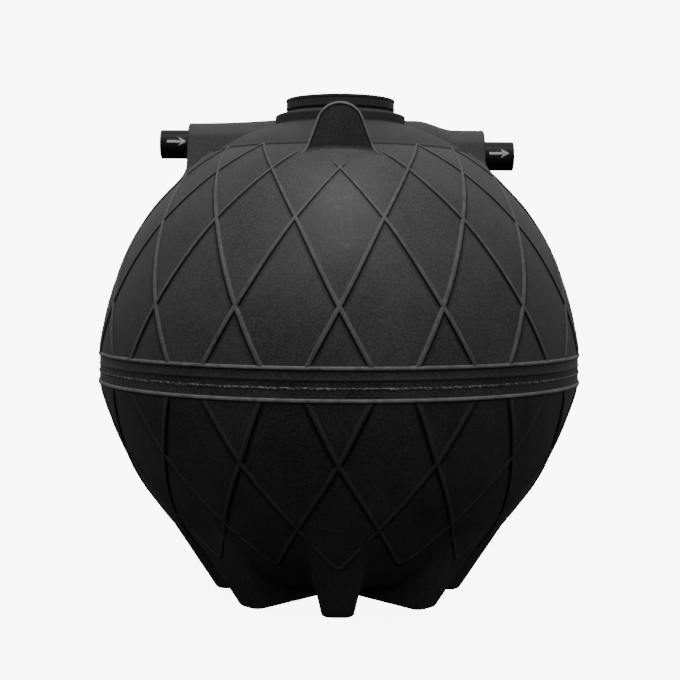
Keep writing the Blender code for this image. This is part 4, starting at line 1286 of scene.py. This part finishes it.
# The ear gets a darker copy of the shell's plastic, since its upright face gets little light from
# above: painted shade. Its rim's crest colour is a strong painted highlight
ear_plastic = moulded_plastic("ear_plastic", (0.008, 0.008, 0.0085), (0.028, 0.028, 0.029),
                              roughness=0.55, dust=0.08, specular=0.12, pale_crest=(0.110, 0.110, 0.108))
for where, turns in (("front", -1), ("back", 1)):
    mesh, outline = ear_mesh(where + "_ear")
    ear = add_piece(where + "_ear", mesh)
    carve(ear, dome_solid())
    foot = add_piece(where + "_ear_foot", end_skirt(
        where + "_ear_foot", EAR_FACE, outline, reach=0.016, share=0.5))
    mark_wear_and_painted_light(ear.data, rim_wear_and_painted_light(outline))
    for piece in (ear, foot):
        turn_piece(piece, Matrix.Rotation(turns * pi / 2, 4, "Z"))
    dress(ear, ear_plastic, where + "_lifting_ear")
    dress(foot, shell_plastic)

# Manhole neck. A stout collar on the crown with a bevelled upper edge, a sloping shoulder inside it and
# a short spout that the lid rests on.
COLLAR_TOP = 1.8480
NECK_SHOULDER = 1.8640
NECK_SHOULDER_RADIUS = 0.2132
SPOUT_RADIUS = 0.2060
SPOUT_TOP = 1.8727
round_piece("neck", (
    (MANHOLE_RADIUS, dome_height(MANHOLE_RADIUS) - 0.006, 0.0),
    (MANHOLE_RADIUS, SPOUT_TOP, 0.0010),
    (SPOUT_RADIUS, SPOUT_TOP, 0.0010),
    (SPOUT_RADIUS, NECK_SHOULDER + 0.0006, 0.0015),
    (NECK_SHOULDER_RADIUS, NECK_SHOULDER, 0.0020),
    (COLLAR_RADIUS - 0.0045, COLLAR_TOP + 0.0042, 0.0035),
    (COLLAR_RADIUS, COLLAR_TOP - 0.0010, 0.0030),
    (COLLAR_RADIUS, dome_height(COLLAR_RADIUS), 0.0045),
    (COLLAR_RADIUS + 0.0060, dome_height(COLLAR_RADIUS + 0.0060) - 0.0004, 0.0),
    (COLLAR_RADIUS + 0.0060, dome_height(COLLAR_RADIUS + 0.0060) - 0.0050, 0.0),
    (0.2200, dome_height(0.2200) - 0.006, 0.0),
), crown_plastic, "manhole_neck")

# Lid. A loose round cover, moulded separately, with a lip round its top edge and a plug below that
# centres it in the manhole. It lifts straight off.
LID_RADIUS = 0.2140
LID_TOP = 1.9160
LID_PLUG_RADIUS = 0.1740
LID_SEAT = 0.0003
lid_plastic = moulded_plastic("moulded_lid", (0.007, 0.007, 0.0075), (0.026, 0.026, 0.027),
                              roughness=0.52, dust=0.10, specular=0.14)
round_piece("lid", (
    (0.0, LID_TOP - 0.0040, 0.0),
    (0.1480, LID_TOP - 0.0040, 0.0060),
    (0.1560, LID_TOP, 0.0050),
    (LID_RADIUS, LID_TOP, 0.0045),
    (LID_RADIUS, LID_TOP - 0.0100, 0.0020),
    (LID_RADIUS - 0.0022, LID_TOP - 0.0125, 0.0020),
    (LID_RADIUS - 0.0010, SPOUT_TOP + LID_SEAT, 0.0025),
    (LID_PLUG_RADIUS, SPOUT_TOP + LID_SEAT, 0.0),
    (LID_PLUG_RADIUS, SPOUT_TOP + LID_SEAT - 0.0200, 0.0030),
    (0.0, SPOUT_TOP + LID_SEAT - 0.0200, 0.0),
), lid_plastic, "manhole_lid", closed=False, slot="lid", body="lid")

# Studio for the photograph: a plain pale floor, soft light from above and in front, and the camera
# at the photograph's height and distance. None of it belongs to the tank.
WHITE = (1.0, 1.0, 1.0, 1.0)
floor_disc = bmesh.new()
bmesh.ops.create_circle(floor_disc, cap_ends=True, segments=96, radius=60.0)
studio_floor = add_piece("studio_floor", new_mesh("studio_floor", floor_disc))
floor_paint, floor_tree, floor_shader, _ = new_material("studio_floor")
fill_inputs(floor_tree, floor_shader, {
    "Base Color": (0.80, 0.80, 0.80, 1.0), "Roughness": 0.9, "Emission Color": WHITE,
    "Emission Strength": 8.0})
studio_floor.data.materials.append(floor_paint)
studio_floor.visible_diffuse = False
studio_floor.visible_glossy = False

world = bpy.data.worlds.new("studio")
world.use_nodes = True
sky = world.node_tree
fill = sky.nodes["Background"]
direction = add_node(sky, "ShaderNodeTexCoord").outputs["Generated"]
upwards = add_node(sky, "ShaderNodeSeparateXYZ", {0: direction}).outputs["Z"]
fill_inputs(sky, fill, {
    "Color": WHITE, "Strength": spread(sky, upwards, -0.64, 0.9, 0.012, 1.08)})
backdrop = add_node(sky, "ShaderNodeBackground", {"Color": WHITE, "Strength": 9.0})
seen = add_node(sky, "ShaderNodeLightPath").outputs["Is Camera Ray"]
shown = add_node(sky, "ShaderNodeMixShader", {0: seen, 1: fill.outputs[0], 2: backdrop.outputs[0]})
sky.links.new(shown.outputs[0], sky.nodes["World Output"].inputs["Surface"])
bpy.context.scene.world = world

light = bpy.data.lights.new("overhead", "AREA")
light.size = 2.6
light.energy = 400.0
lamp = bpy.data.objects.new("overhead", light)
bpy.context.scene.collection.objects.link(lamp)
lamp.location = (0.0, -2.6, 6.8)
lamp.rotation_euler = (Vector((0.0, 0.0, 1.2)) - lamp.location).to_track_quat("-Z", "Y").to_euler()

CAMERA_DISTANCE = 5.035
CAMERA_HEIGHT = 1.2456
FOCAL_PIXELS = 1275.0
HORIZON = 270.5
CENTRE_LINE = 339.5
FRAME = 680
CAMERA_ROLL = -0.3
camera_data = bpy.data.cameras.new("photo_camera")
camera_data.lens = camera_data.sensor_width * FOCAL_PIXELS / FRAME
camera_data.shift_x = (FRAME / 2 - CENTRE_LINE) / FRAME
camera_data.shift_y = (HORIZON - FRAME / 2) / FRAME
camera_data.clip_end = 200.0
camera = bpy.data.objects.new("photo_camera", camera_data)
bpy.context.scene.collection.objects.link(camera)
camera.location = (0.0, -CAMERA_DISTANCE, CAMERA_HEIGHT)
camera.rotation_euler = (pi / 2, radians(CAMERA_ROLL), 0.0)
bpy.context.scene.camera = camera
